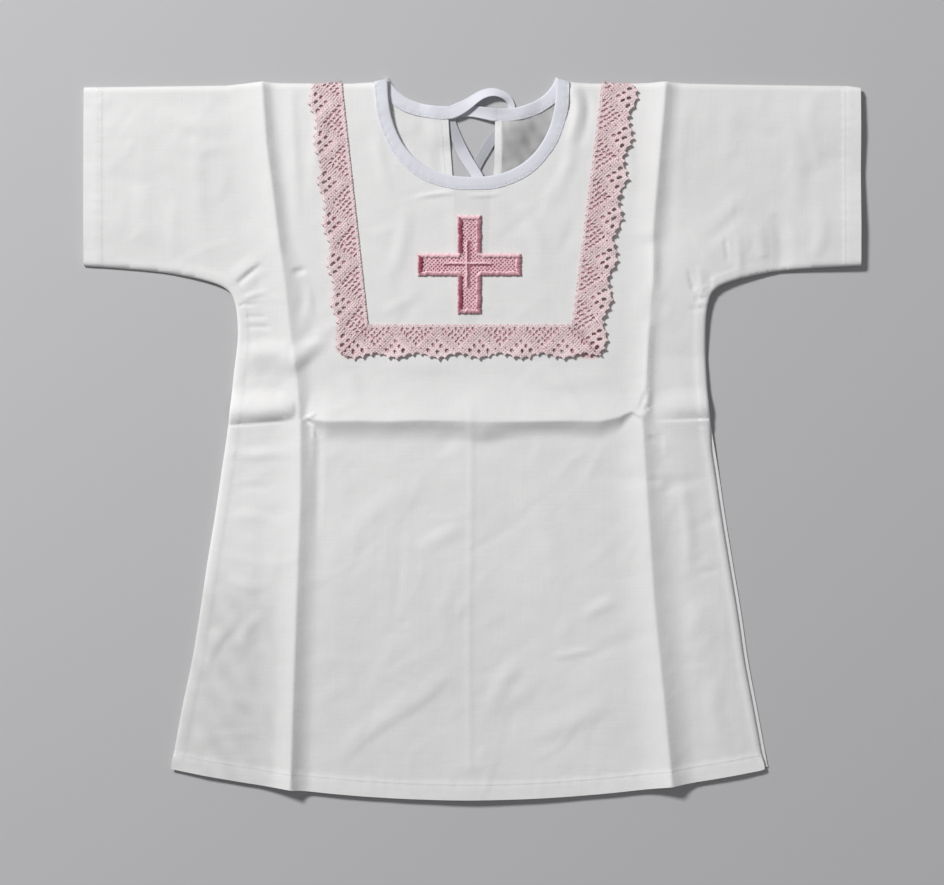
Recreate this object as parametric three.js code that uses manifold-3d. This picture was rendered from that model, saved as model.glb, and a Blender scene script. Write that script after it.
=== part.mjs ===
// A baby's baptismal shirt, laid flat on a table, front side up.
// X runs across from cuff to cuff, Y from the hem up to the neck, and Z up from the table. Millimetres.
// Front and back are each one T-shaped panel, cut in one with its half sleeves. The neck is bound with tape that
// runs on past the open slit in the back as two ties. Lace in a U and an equal-armed cross lie on the front.
// The shirt keeps the creases of its folding: two upright ones, one level one, and lifted edges.
import * as THREE from "three";
import { mergeVertices } from "three/addons/utils/BufferGeometryUtils.js";
import Module from "manifold-3d";

const wasm = await Module();
wasm.setup();

// Sizes
const CLOTH = 1.2; // wall of a panel
const TAPE = 1.5; // wall of the neck binding
const TIE = 1.0; // wall of a tie
const LACE = 1.0; // wall of the lace
const CROSS = 1.5; // wall of the cross
const SEAM = 0.3; // gap between pieces
const LOFT = 1.2; // how far the front stands off the back, away from the seams
const NECK_LOFT = 0.6; // more of that at the front of the neck
const LOFT_WIDTH = 30; // from a seam to the full loft

const CUFF_X = 240.9; // half the span from cuff to cuff
const HEM_CORNER_Y = -204;
const HEM_LOW = { x: -3.4, y: -223.2 }; // lowest point of the curved hem
const BACK_HEM_UP = 1.2; // the back is this much shorter
const SEAM_ROLL = { depth: 2.2, from: 14, over: 24 }; // below the waist the right side seam rolls to the front

const NECK = { y: 223.2, half: 52.3, front: 60.1, back: 17, power: 2.35 }; // opening: half width, depth in front and back
const BINDING = 8.2; // width of the neck binding
const SLIT_ENDS = { left: -14.9, right: 14.4 }; // where the neck binding ends at the back slit

// Top edge, from the left cuff to the right one
const SHOULDER = [
  { x: -CUFF_X, y: 218.9 },
  { x: -152.2, y: 220.1 },
  { x: -137, y: 221.6 },
  { x: -129.3, y: 222.2 },
  { x: -118, y: 221.5 },
  { x: -74.1, y: 221.3 },
  { x: -60.8, y: 222.2 },
  { x: 60.8, y: 222.2 },
  { x: 74.7, y: 221.3 },
  { x: 108, y: 221.5 },
  { x: 120, y: 222.2 },
  { x: 134, y: 221.3 },
  { x: 164, y: 220.7 },
  { x: 233, y: 219.6 },
  { x: CUFF_X, y: 218.4 },
];

// Underarm and side seams, from the cuff down to the hem
const SIDE = [
  { y: 108.1, left: -CUFF_X, right: CUFF_X },
  { y: 106.0, left: -212.4, right: 203.0 },
  { y: 104.2, left: -194.0, right: 186.0 },
  { y: 102.3, left: -181.5, right: 175.8 },
  { y: 98.6, left: -164.6, right: 161.5 },
  { y: 94.9, left: -154.4, right: 152.6 },
  { y: 91.1, left: -149.7, right: 148.6 },
  { y: 86.8, left: -147.6, right: 146.9 },
  { y: 78.7, left: -146.0, right: 145.4 },
  { y: 63.9, left: -145.4, right: 144.8 },
  { y: 41.5, left: -147.9, right: 145.4 },
  { y: 11.8, left: -151.0, right: 147.9 },
  { y: -18.0, left: -155.3, right: 152.8 },
  { y: -47.7, left: -159.7, right: 157.2 },
  { y: -77.5, left: -164.6, right: 162.1 },
  { y: -107.3, left: -169.0, right: 167.1 },
  { y: -137.0, left: -173.9, right: 171.4 },
  { y: -166.8, left: -180.1, right: 177.0 },
  { y: HEM_CORNER_Y, left: -186.9, right: 183.8 },
];

// Open slit in the back, from above the neck down to its point
const SLIT = [
  { y: 230, left: -15.3, right: 14.8 },
  { y: 197.8, left: -14.6, right: 14.3 },
  { y: 163.7, left: -12.1, right: 13.3 },
  { y: 148.2, left: -11.2, right: 11.2 },
  { y: 123.4, left: -11.0, right: 10.2 },
  { y: 98.6, left: -9.9, right: 7.4 },
  { y: 73.8, left: -8.1, right: 2.8 },
  { y: 55.2, left: -5.3, right: 0.0 },
  { y: 38.4, left: -2.6, right: -1.8 },
];

// Upright creases: where the crest is at each level, how high it stands, and how wide it is on its two sides
const LEFT_CREASE = [
  { y: 230, x: -129.6, high: 3.8, before: 24, after: 7 },
  { y: 183.5, x: -125.9, high: 4.4, before: 26, after: 8 },
  { y: 155.0, x: -122.1, high: 4.4, before: 26, after: 8 },
  { y: 122.8, x: -118.4, high: 4.0, before: 24, after: 8 },
  { y: 102.3, x: -115.3, high: 3.0, before: 20, after: 7 },
  { y: 70.7, x: -112.5, high: 2.6, before: 18, after: 9 },
  { y: 36.6, x: -108.2, high: 2.8, before: 18, after: 9 },
  { y: 10.0, x: -106.2, high: 3.6, before: 20, after: 9 },
  { y: -32.9, x: -106.1, high: 4.4, before: 24, after: 11 },
  { y: -85.6, x: -107.9, high: 4.8, before: 25, after: 11 },
  { y: -155.0, x: -110.5, high: 5.6, before: 25, after: 11 },
  { y: -230, x: -112.6, high: 6.6, before: 24, after: 11 },
];
const RIGHT_CREASE = [
  { y: 230, x: 120.8, high: 3.8, before: 20, after: 10 },
  { y: 173.0, x: 115.6, high: 4.4, before: 20, after: 12 },
  { y: 129.8, x: 111.8, high: 3.8, before: 18, after: 11 },
  { y: 96.7, x: 111.6, high: 2.2, before: 16, after: 9 },
  { y: 63.2, x: 108.8, high: 2.2, before: 16, after: 8 },
  { y: 10.0, x: 105.6, high: 3.4, before: 16, after: 9 },
  { y: -36.5, x: 108.4, high: 4.2, before: 20, after: 11 },
  { y: -102.3, x: 112.8, high: 4.8, before: 21, after: 12 },
  { y: -172.1, x: 119.7, high: 5.6, before: 22, after: 12 },
  { y: -230, x: 125.0, high: 6.6, before: 22, after: 12 },
];

// Level creases: crest, where it runs from and to, height, and width above and below the crest
const LEVEL_CREASES = [
  { y: 10.2, from: -106, to: 106, high: 4.4, above: 32, below: 10 }, // across the middle
  { y: 17.6, from: -156, to: -106, high: 1.7, above: 14, below: 8 }, // the side parts fold the other way
  { y: -1.5, from: -156, to: -106, high: 1.3, above: 8, below: 9 },
  { y: 18.4, from: 106, to: 152, high: 1.6, above: 13, below: 7 },
  { y: 2.0, from: 106, to: 152, high: 1.2, above: 7, below: 12 },
];
const CREASE_END = 9; // a level crease fades out over this length

// Places where both layers stand off the table
const LIFTS = [
  { x: 150, y: 92, radius: 62, high: 3.0 }, // right underarm
  { x: 243, y: 104, radius: 75, high: 3.2 }, // right cuff
  { x: 243, y: 214, radius: 60, high: 1.8 },
  { x: 150, y: 24, radius: 55, high: 1.8 }, // right side
  { x: -150, y: 92, radius: 48, high: 1.4 }, // left underarm
  { x: 0, y: -226, radius: 70, high: 1.2 }, // hem
];

// The ties, from the end of the neck binding: centre, width, and lean of the tape from lying flat, in degrees
const LEFT_TIE = [
  { x: -14.6, y: 203.0, z: 2.75, wide: 8.0, lean: 0 },
  { x: -13.4, y: 203.0, z: 2.75, wide: 8.0, lean: 0 },
  { x: -10.5, y: 204.1, z: 2.9, wide: 8.0, lean: -3 },
  { x: -6.0, y: 206.3, z: 3.0, wide: 7.8, lean: -8 },
  { x: -1.8, y: 208.9, z: 2.9, wide: 7.4, lean: -16 },
  { x: 2.2, y: 211.8, z: 2.7, wide: 7.0, lean: -24 },
  { x: 6.2, y: 214.2, z: 2.5, wide: 6.7, lean: -28 },
  { x: 10.2, y: 215.5, z: 2.4, wide: 6.4, lean: -30 },
  { x: 14.2, y: 215.7, z: 2.3, wide: 6.0, lean: -30 },
  { x: 18.2, y: 214.6, z: 2.0, wide: 5.5, lean: -28 },
  { x: 21.6, y: 212.6, z: 1.5, wide: 4.9, lean: -16 },
  { x: 23.9, y: 209.4, z: 0.9, wide: 4.4, lean: -2 },
  { x: 24.6, y: 206.0, z: 0.7, wide: 4.6, lean: 0 },
  { x: 23.6, y: 202.6, z: 0.7, wide: 5.2, lean: 0 },
  { x: 21.4, y: 198.6, z: 0.7, wide: 6.0, lean: 0 },
  { x: 18.2, y: 194.4, z: 0.7, wide: 6.2, lean: 0 },
  { x: 14.4, y: 189.2, z: 0.7, wide: 6.2, lean: 0 },
  { x: 10.8, y: 184.2, z: 0.6, wide: 6.4, lean: 0 },
  { x: 7.4, y: 178.6, z: 0.6, wide: 6.6, lean: 0 },
  { x: 4.2, y: 172.9, z: 0.6, wide: 6.6, lean: 0 },
  { x: 1.9, y: 167.6, z: 0.6, wide: 6.2, lean: 0 },
  { x: 0.3, y: 163.2, z: 0.6, wide: 6.2, lean: 0 },
  { x: -1.7, y: 158.2, z: 0.6, wide: 6.8, lean: 0 },
  { x: -3.6, y: 152.2, z: 0.6, wide: 7.4, lean: 0 },
  { x: -4.7, y: 145.6, z: 0.6, wide: 7.8, lean: 0 },
  { x: -5.2, y: 136.0, z: 0.6, wide: 8.0, lean: 0 },
  { x: -5.4, y: 125.0, z: 0.6, wide: 8.0, lean: 0 },
  { x: -5.2, y: 113.0, z: 0.6, wide: 8.0, lean: 0 },
];
const RIGHT_TIE = [
  { x: 14.1, y: 201.8, z: 2.75, wide: 8.0, lean: 0 },
  { x: 12.9, y: 201.8, z: 2.75, wide: 8.0, lean: 0 },
  { x: 10.0, y: 202.4, z: 2.5, wide: 7.6, lean: 0 },
  { x: 5.0, y: 203.3, z: 1.9, wide: 7.2, lean: 0 },
  { x: 0.5, y: 203.9, z: 1.3, wide: 7.0, lean: 0 },
  { x: -3.6, y: 204.2, z: 0.9, wide: 7.0, lean: 0 },
  { x: -7.4, y: 204.1, z: 0.6, wide: 7.0, lean: 0 },
  { x: -10.8, y: 203.2, z: 0.6, wide: 7.0, lean: 0 },
  { x: -13.2, y: 201.2, z: 0.6, wide: 7.0, lean: 0 },
  { x: -13.8, y: 198.4, z: 0.6, wide: 7.0, lean: 0 },
  { x: -12.7, y: 195.2, z: 0.55, wide: 6.7, lean: 0 },
  { x: -10.85, y: 191.6, z: 0.5, wide: 6.1, lean: 0 },
  { x: -9.3, y: 186.9, z: 0.52, wide: 7.0, lean: 0 },
  { x: -7.2, y: 181.9, z: 1.0, wide: 7.0, lean: 0 },
  { x: -4.9, y: 177.0, z: 1.8, wide: 7.0, lean: 0 },
  { x: -2.0, y: 172.1, z: 2.0, wide: 7.0, lean: 0 },
  { x: 1.2, y: 167.2, z: 2.0, wide: 7.0, lean: 0 },
  { x: 4.0, y: 162.1, z: 2.0, wide: 7.0, lean: 0 },
  { x: 5.6, y: 157.0, z: 1.8, wide: 7.2, lean: 0 },
  { x: 6.2, y: 151.5, z: 1.3, wide: 7.4, lean: 0 },
  { x: 5.6, y: 145.0, z: 0.7, wide: 7.8, lean: 0 },
  { x: 5.1, y: 136.0, z: 0.6, wide: 8.0, lean: 0 },
  { x: 4.6, y: 126.0, z: 0.6, wide: 8.0, lean: 0 },
  { x: 4.1, y: 115.0, z: 0.6, wide: 8.0, lean: 0 },
  { x: 3.0, y: 105.5, z: 0.6, wide: 8.0, lean: 0 },
  { x: 0.8, y: 96.0, z: 0.6, wide: 8.0, lean: 0 },
  { x: -1.5, y: 87.0, z: 0.6, wide: 8.0, lean: 0 },
];
// The back is lifted over the ties that pass under it: along these lines, by TIE_LIFT
const TIE_PATHS = [
  { x0: 26.5, y0: 211, x1: 10.2, y1: 184, flat: 6.5, fade: 20 },
  { x0: -17, y0: 206, x1: -15, y1: 196, flat: 6.5, fade: 18 },
];
const TIE_LIFT = 1.75;

// The lace's straight inner edge, as corners of a U, and its shape
const LACE_U = [
  { x: -80.6, y: 222.0 },
  { x: -64.2, y: 71.6 },
  { x: 61.8, y: 71.6 },
  { x: 80.6, y: 222.0 },
];
const LACE_WIDE = 20.6; // to the middle of its scallops
const SCALLOP = { pitch: 25.6, deep: 1.6, steps: 6 };

const CROSS_AT = { x: -1.6, y: 108.6 };
const CROSS_ARM = { across: 64.4, up: 61.4, wide_up: 15.2, wide_across: 14.2 };

const HIGH = 60; // height of the cutting prisms

// Helpers
const smooth = (t) => {
  const u = Math.min(1, Math.max(0, t));
  return u * u * (3 - 2 * u);
};

// The value of a column at y, in a table that runs from high y to low y
function at(rows, y, column) {
  if (y >= rows[0].y) return rows[0][column];
  for (let i = 1; i < rows.length; i++) {
    if (y >= rows[i].y) {
      const t = (rows[i - 1].y - y) / (rows[i - 1].y - rows[i].y);
      return rows[i - 1][column] * (1 - t) + rows[i][column] * t;
    }
  }
  return rows[rows.length - 1][column];
}

function curved(points, steps) {
  const line = points.map((p) => new THREE.Vector3(p.x, p.y, 0));
  const curve = new THREE.CatmullRomCurve3(line, false, "centripetal");
  return curve.getPoints(steps).map((p) => ({ x: p.x, y: p.y }));
}

function toSegment(x, y, x0, y0, x1, y1) {
  const dx = x1 - x0,
    dy = y1 - y0;
  const t = Math.min(
    1,
    Math.max(0, ((x - x0) * dx + (y - y0) * dy) / (dx * dx + dy * dy)),
  );
  return Math.hypot(x - x0 - t * dx, y - y0 - t * dy);
}

// The seams that join front and back: shoulders, underarms and sides
const leftSide = SIDE.map((r) => ({ x: r.left, y: r.y }));
const rightSide = SIDE.map((r) => ({ x: r.right, y: r.y }));
const seamLines = [
  SHOULDER.filter((p) => p.x <= -60),
  SHOULDER.filter((p) => p.x >= 60),
  leftSide,
  rightSide,
];
function toSeam(x, y) {
  let best = Infinity;
  for (const line of seamLines)
    for (let i = 1; i < line.length; i++)
      best = Math.min(
        best,
        toSegment(
          x,
          y,
          line[i - 1].x,
          line[i - 1].y,
          line[i].x,
          line[i].y,
        ),
      );
  return best;
}

// A crease's cross-section: sharp at the crest, flat where it ends
const tent = (d, before, after) => {
  const t = d < 0 ? -d / before : d / after;
  return t >= 1 ? 0 : (1 - t) * (1 - t);
};

// How far both layers stand off the table
function creases(x, y) {
  const parts = [];
  for (const rows of [LEFT_CREASE, RIGHT_CREASE])
    parts.push(
      at(rows, y, "high") *
        tent(x - at(rows, y, "x"), at(rows, y, "before"), at(rows, y, "after")),
    );
  for (const c of LEVEL_CREASES) {
    const along =
      smooth((x - c.from) / CREASE_END) * smooth((c.to - x) / CREASE_END);
    parts.push(c.high * along * tent(c.y - y, c.above, c.below));
  }
  return Math.cbrt(parts.reduce((sum, p) => sum + p * p * p, 0));
}
function lifts(x, y) {
  return LIFTS.reduce((most, l) => {
    const t = Math.hypot(x - l.x, y - l.y) / l.radius;
    return Math.max(most, t >= 1 ? 0 : l.high * (1 - t * t) * (1 - t * t));
  }, 0);
}
function overTies(x, y) {
  return TIE_PATHS.reduce((most, p) => {
    const d = toSegment(x, y, p.x0, p.y0, p.x1, p.y1);
    return Math.max(
      most,
      TIE_LIFT * (1 - smooth((d - p.flat) / (p.fade - p.flat))),
    );
  }, 0);
}

// Undersides of the two panels
const backLow = (x, y) => creases(x, y) + lifts(x, y) + overTies(x, y);
function frontLow(x, y) {
  const off = smooth(toSeam(x, y) / LOFT_WIDTH);
  const atNeck =
    Math.exp(-((x / 55) ** 2 + ((y - 160) / 45) ** 2)) * NECK_LOFT;
  const byBinding =
    0.45 * (1 - smooth((Math.abs(x) - 62) / 14)) * smooth((y - 190) / 20);
  const low =
    creases(x, y) +
    lifts(x, y) +
    CLOTH +
    SEAM +
    byBinding +
    off * (LOFT + atNeck);
  return Math.max(low, backLow(x, y) + CLOTH + SEAM);
}

// Every piece of cloth is a sheet over this grid, cut to its outline. Some columns follow the upright creases.
const COLUMNS = [
  ...[-245, -208, -180].map((x) => () => x),
  ...[-25, -13, -5, 0, 3.5, 9].map(
    (d) => (y) => at(LEFT_CREASE, y, "x") + d,
  ),
  ...[-86, -62, -38, -17, 0, 17, 38, 62].map((x) => () => x),
  ...[-20, -10, -4, 0, 4.5, 11].map(
    (d) => (y) => at(RIGHT_CREASE, y, "x") + d,
  ),
  ...[150, 180, 208, 245].map((x) => () => x),
];
const ROWS = [
  230, 214, 200, 184, 168, 150, 130, 112, 100, 86, 70, 50, 32, 21, 17.6, 14,
  10.2, 6, 1.5, -2.5, -9, -22, -50, -80, -110, -140, -172, -204,
  -230,
];

function solidOf(points, triangles) {
  return new wasm.Manifold(
    new wasm.Mesh({
      numProp: 3,
      vertProperties: new Float32Array(points.flat()),
      triVerts: new Uint32Array(triangles.flat()),
    }),
  );
}

// A closed wall over the grid, from its underside and its thickness
function sheet(low, thick) {
  const points = [],
    triangles = [],
    across = COLUMNS.length,
    down = ROWS.length;
  for (const top of [0, 1])
    for (const y of ROWS)
      for (const column of COLUMNS) {
        const x = column(y);
        points.push([x, y, low(x, y) + top * thick]);
      }
  const layer = across * down;
  for (let j = 0; j + 1 < down; j++)
    for (let i = 0; i + 1 < across; i++) {
      const a = j * across + i,
        b = a + 1,
        c = a + across,
        d = c + 1;
      triangles.push([a, b, c], [b, d, c]);
      triangles.push(
        [a + layer, c + layer, b + layer],
        [b + layer, c + layer, d + layer],
      );
    }
  const wall = (p, q) =>
    triangles.push([p, q + layer, q], [p, p + layer, q + layer]);
  for (let i = 0; i + 1 < across; i++) {
    wall(i, i + 1);
    wall((down - 1) * across + i + 1, (down - 1) * across + i);
  }
  for (let j = 0; j + 1 < down; j++) {
    wall((j + 1) * across, j * across);
    wall(j * across + across - 1, (j + 1) * across + across - 1);
  }
  return solidOf(points, triangles);
}

// An upright prism over an outline
function prism(outline) {
  const shape = new THREE.Shape(
    outline.map((p) => new THREE.Vector2(p.x, p.y)),
  );
  const g = new THREE.ExtrudeGeometry(shape, {
    depth: HIGH,
    bevelEnabled: false,
  });
  g.translate(0, 0, -HIGH / 3);
  g.deleteAttribute("normal");
  g.deleteAttribute("uv");
  const merged = mergeVertices(g, 1e-4);
  return new wasm.Manifold(
    new wasm.Mesh({
      numProp: 3,
      vertProperties: new Float32Array(merged.attributes.position.array),
      triVerts: new Uint32Array(merged.index.array),
    }),
  );
}

function meshOf(name, solid, material) {
  const m = solid.getMesh(),
    n = m.numProp,
    v = new Float32Array(m.numVert * 3);
  for (let i = 0; i < m.numVert; i++)
    v.set(m.vertProperties.subarray(i * n, i * n + 3), i * 3);
  const g = new THREE.BufferGeometry();
  g.setAttribute("position", new THREE.BufferAttribute(v, 3));
  g.setIndex(new THREE.BufferAttribute(new Uint32Array(m.triVerts), 1));
  g.computeVertexNormals();
  const mesh = new THREE.Mesh(g, material);
  mesh.name = name;
  return mesh;
}

// Outline of a panel: shoulders, right side, hem, left side
const roll = (y) =>
  SEAM_ROLL.depth * smooth((SEAM_ROLL.from - y) / SEAM_ROLL.over);
function panelOutline(hemUp, rolled) {
  const right = curved(rightSide, 38).map((p) => ({
    x: p.x - (rolled ? roll(p.y) : 0),
    y: p.y,
  }));
  const left = curved(leftSide, 38);
  const r = right[right.length - 1],
    l = left[left.length - 1],
    hem = [];
  for (let i = 0; i <= 24; i++) {
    const x = r.x + ((l.x - r.x) * i) / 24;
    const half = x > HEM_LOW.x ? r.x - HEM_LOW.x : HEM_LOW.x - l.x;
    const t = (x - HEM_LOW.x) / half;
    hem.push({
      x,
      y: HEM_LOW.y + (HEM_CORNER_Y - HEM_LOW.y) * t * t + hemUp,
    });
  }
  return [
    ...SHOULDER,
    ...right.slice(1, -1),
    ...hem,
    ...left.slice(1, -1).reverse(),
    { x: -CUFF_X, y: SIDE[0].y },
  ];
}

// Half of a rounded neck curve, from its right end down and up to its left end
function neckCurve(half, deep, steps) {
  const line = [];
  for (let i = 0; i <= steps; i++) {
    const a = (Math.PI * i) / steps,
      c = Math.cos(a),
      s = Math.sin(a),
      p = 2 / NECK.power;
    line.push({
      x: half * Math.sign(c) * Math.abs(c) ** p,
      y: NECK.y - deep * s ** p,
    });
  }
  return line;
}
function neckHole(half, deep) {
  return prism([
    { x: half, y: NECK.y + 20 },
    ...neckCurve(half, deep, 40),
    { x: -half, y: NECK.y + 20 },
  ]);
}
function ring(deep) {
  return prism([
    ...neckCurve(NECK.half + BINDING, deep + BINDING, 40),
    ...neckCurve(NECK.half, deep, 40).reverse(),
  ]);
}

// A tape along a row of sections, each a flat rectangle that leans about the line
function tape(rows) {
  const points = [],
    triangles = [];
  rows.forEach((r, i) => {
    const a = rows[Math.max(0, i - 1)],
      b = rows[Math.min(rows.length - 1, i + 1)];
    const run = new THREE.Vector3(b.x - a.x, b.y - a.y, b.z - a.z).normalize();
    const flat = new THREE.Vector3(0, 0, 1).cross(run).normalize();
    const lean = (r.lean * Math.PI) / 180;
    const side = flat
      .clone()
      .multiplyScalar(Math.cos(lean))
      .add(
        new THREE.Vector3().crossVectors(run, flat).multiplyScalar(Math.sin(lean)),
      );
    const face = new THREE.Vector3().crossVectors(run, side);
    for (const [w, t] of [
      [-1, -1],
      [1, -1],
      [1, 1],
      [-1, 1],
    ])
      points.push([
        r.x + (side.x * w * r.wide) / 2 + (face.x * t * TIE) / 2,
        r.y + (side.y * w * r.wide) / 2 + (face.y * t * TIE) / 2,
        r.z + (side.z * w * r.wide) / 2 + (face.z * t * TIE) / 2,
      ]);
  });
  for (let i = 0; i + 1 < rows.length; i++)
    for (let k = 0; k < 4; k++) {
      const p = i * 4 + k,
        q = i * 4 + ((k + 1) % 4);
      triangles.push([p, q, q + 4], [p, q + 4, p + 4]);
    }
  const e = (rows.length - 1) * 4;
  triangles.push([0, 2, 1], [0, 3, 2], [e, e + 1, e + 2], [e, e + 2, e + 3]);
  const made = solidOf(points, triangles);
  return made.volume() < 0
    ? solidOf(
        points,
        triangles.map(([a, b, c]) => [a, c, b]),
      )
    : made;
}

// Outline of one side of the lace: straight along its inner edge, scalloped outside, mitred at the U's corners
function laceOutline(k) {
  const [p, q] = [LACE_U[k], LACE_U[k + 1]];
  const along = new THREE.Vector2(q.x - p.x, q.y - p.y);
  const long = along.length();
  along.divideScalar(long);
  const out = new THREE.Vector2(along.y, -along.x); // to the right of the run, outside the U
  const turn = (a, b, c) => {
    // how far the mitre moves the outer corner at b
    const u = new THREE.Vector2(b.x - a.x, b.y - a.y).normalize(),
      v = new THREE.Vector2(c.x - b.x, c.y - b.y).normalize();
    return Math.tan(Math.acos(u.dot(v)) / 2);
  };
  const start = k > 0 ? turn(LACE_U[k - 1], p, q) : 0;
  const end = k < 2 ? turn(p, q, LACE_U[k + 2]) : 0;
  const gap = SEAM / 2;
  const from = k > 0 ? gap : 0,
    to = k < 2 ? gap : 0;
  const count = Math.round(long / SCALLOP.pitch),
    n = count * SCALLOP.steps,
    outer = [];
  for (let i = 0; i <= n; i++) {
    const t = i / n;
    const d = LACE_WIDE + SCALLOP.deep * Math.sin(2 * Math.PI * count * t - Math.PI / 2);
    const s = from - start * d + t * (long - from - to + (start + end) * d);
    outer.push({
      x: p.x + along.x * s + out.x * d,
      y: p.y + along.y * s + out.y * d,
    });
  }
  const near = (s) => ({ x: p.x + along.x * s, y: p.y + along.y * s });
  return [near(long - to), near(from), ...outer];
}

// The pieces
const white = new THREE.MeshStandardMaterial({
  color: 0xe9eaea,
  roughness: 0.9,
  metalness: 0,
});
const coolWhite = new THREE.MeshStandardMaterial({
  color: 0xe6e7ef,
  roughness: 0.75,
  metalness: 0,
});
const palePink = new THREE.MeshStandardMaterial({
  color: 0xe2bfc5,
  roughness: 0.9,
  metalness: 0,
});
const rose = new THREE.MeshStandardMaterial({
  color: 0xd694a5,
  roughness: 0.6,
  metalness: 0,
});

const shirt = new THREE.Group();
const add = (name, solid, material) => shirt.add(meshOf(name, solid, material));

const neckGap = (deep) =>
  neckHole(NECK.half + BINDING + SEAM, deep + BINDING + SEAM);
const slitHole = prism([
  ...SLIT.map((r) => ({ x: r.right, y: r.y })),
  ...SLIT.map((r) => ({ x: r.left, y: r.y })).reverse(),
]);

const frontSheet = sheet(frontLow, CLOTH);
const backSheet = sheet(backLow, CLOTH);
const onFront = (thick) =>
  sheet((x, y) => frontLow(x, y) + CLOTH + SEAM, thick);

add(
  "front",
  frontSheet
    .intersect(prism(panelOutline(0, true)))
    .subtract(neckGap(NECK.front)),
  white,
);
add(
  "back",
  backSheet
    .intersect(prism(panelOutline(BACK_HEM_UP, false)))
    .subtract(neckGap(NECK.back))
    .subtract(slitHole),
  white,
);

add(
  "binding_front",
  sheet(frontLow, TAPE).intersect(ring(NECK.front)),
  coolWhite,
);
const backRing = sheet(backLow, TAPE).intersect(ring(NECK.back));
const half = (from, to) =>
  prism([
    { x: from, y: 150 },
    { x: to, y: 150 },
    { x: to, y: 240 },
    { x: from, y: 240 },
  ]);
add(
  "binding_back_left",
  backRing.intersect(half(-100, SLIT_ENDS.left)),
  coolWhite,
);
add(
  "binding_back_right",
  backRing.intersect(half(SLIT_ENDS.right, 100)),
  coolWhite,
);
add("tie_left", tape(LEFT_TIE), coolWhite);
add("tie_right", tape(RIGHT_TIE), coolWhite);

["lace_left", "lace_bottom", "lace_right"].forEach((name, k) =>
  add(name, onFront(LACE).intersect(prism(laceOutline(k))), palePink),
);

const { across, up, wide_up, wide_across } = CROSS_ARM;
const corners = [
  [-wide_up, up],
  [-wide_up, wide_across],
  [-across, wide_across],
  [-across, -wide_across],
  [-wide_up, -wide_across],
  [-wide_up, -up],
  [wide_up, -up],
  [wide_up, -wide_across],
  [across, -wide_across],
  [across, wide_across],
  [wide_up, wide_across],
  [wide_up, up],
].map(([x, y]) => ({ x: CROSS_AT.x + x / 2, y: CROSS_AT.y + y / 2 }));
add("cross", onFront(CROSS).intersect(prism(corners)), rose);

export default shirt;
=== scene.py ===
import math

import bpy
import numpy as np
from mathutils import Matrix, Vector
from mathutils.geometry import delaunay_2d_cdt


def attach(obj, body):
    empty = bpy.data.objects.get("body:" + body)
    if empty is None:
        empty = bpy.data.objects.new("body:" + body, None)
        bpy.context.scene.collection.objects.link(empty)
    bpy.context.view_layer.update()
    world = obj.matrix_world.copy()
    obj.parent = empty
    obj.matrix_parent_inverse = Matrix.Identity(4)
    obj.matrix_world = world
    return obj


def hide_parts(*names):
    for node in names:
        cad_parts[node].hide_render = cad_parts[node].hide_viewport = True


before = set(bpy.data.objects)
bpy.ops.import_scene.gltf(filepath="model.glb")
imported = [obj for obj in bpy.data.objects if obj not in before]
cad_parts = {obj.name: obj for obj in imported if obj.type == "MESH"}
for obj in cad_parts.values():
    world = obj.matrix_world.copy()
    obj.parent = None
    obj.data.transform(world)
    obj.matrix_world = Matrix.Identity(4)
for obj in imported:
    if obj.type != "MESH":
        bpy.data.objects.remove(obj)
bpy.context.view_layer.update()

# Sizes are in millimetres here, as in the CAD, and become metres where a mesh is made.
CLOTH = 1.2
SEAM = 0.3
LOFT = 1.2
NECK_LOFT = 0.6
LOFT_WIDTH = 30
CUFF_X = 240.9
HEM_CORNER_Y = -204
HEM_LOW = (-3.4, -223.2)
BACK_HEM_UP = 1.2
NECK = {"y": 223.2, "half": 52.3, "front": 60.1, "back": 17, "power": 2.35}
BINDING = 8.2
SLIT_ENDS = (-14.9, 14.4)
SHELL = 0.42  # thickness of the cloth that shows

SHOULDER = [
    (-CUFF_X, 218.9),
    (-152.2, 220.1),
    (-137, 221.6),
    (-129.3, 222.2),
    (-118, 221.5),
    (-74.1, 221.3),
    (-60.8, 222.2),
    (60.8, 222.2),
    (74.7, 221.3),
    (108, 221.5),
    (120, 222.2),
    (134, 221.3),
    (164, 220.7),
    (233, 219.6),
    (CUFF_X, 218.4),
]
# level, left seam, right seam
SIDE = np.array(
    [
        (108.1, -CUFF_X, CUFF_X),
        (106.0, -212.4, 203.0),
        (104.2, -194.0, 186.0),
        (102.3, -181.5, 175.8),
        (98.6, -164.6, 161.5),
        (94.9, -154.4, 152.6),
        (91.1, -149.7, 148.6),
        (86.8, -147.6, 146.9),
        (78.7, -146.0, 145.4),
        (63.9, -145.4, 144.8),
        (41.5, -147.9, 145.4),
        (11.8, -151.0, 147.9),
        (-18.0, -155.3, 152.8),
        (-47.7, -159.7, 157.2),
        (-77.5, -164.6, 162.1),
        (-107.3, -169.0, 167.1),
        (-137.0, -173.9, 171.4),
        (-166.8, -180.1, 177.0),
        (HEM_CORNER_Y, -186.9, 183.8),
    ]
)
# level, left edge, right edge of the slit
SLIT = np.array(
    [
        (230, -15.3, 14.8),
        (197.8, -14.6, 14.3),
        (163.7, -12.1, 13.3),
        (148.2, -11.2, 11.2),
        (123.4, -11.0, 10.2),
        (98.6, -9.9, 7.4),
        (73.8, -8.1, 2.8),
        (55.2, -5.3, 0.0),
        (38.4, -2.6, -1.8),
    ]
)
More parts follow.
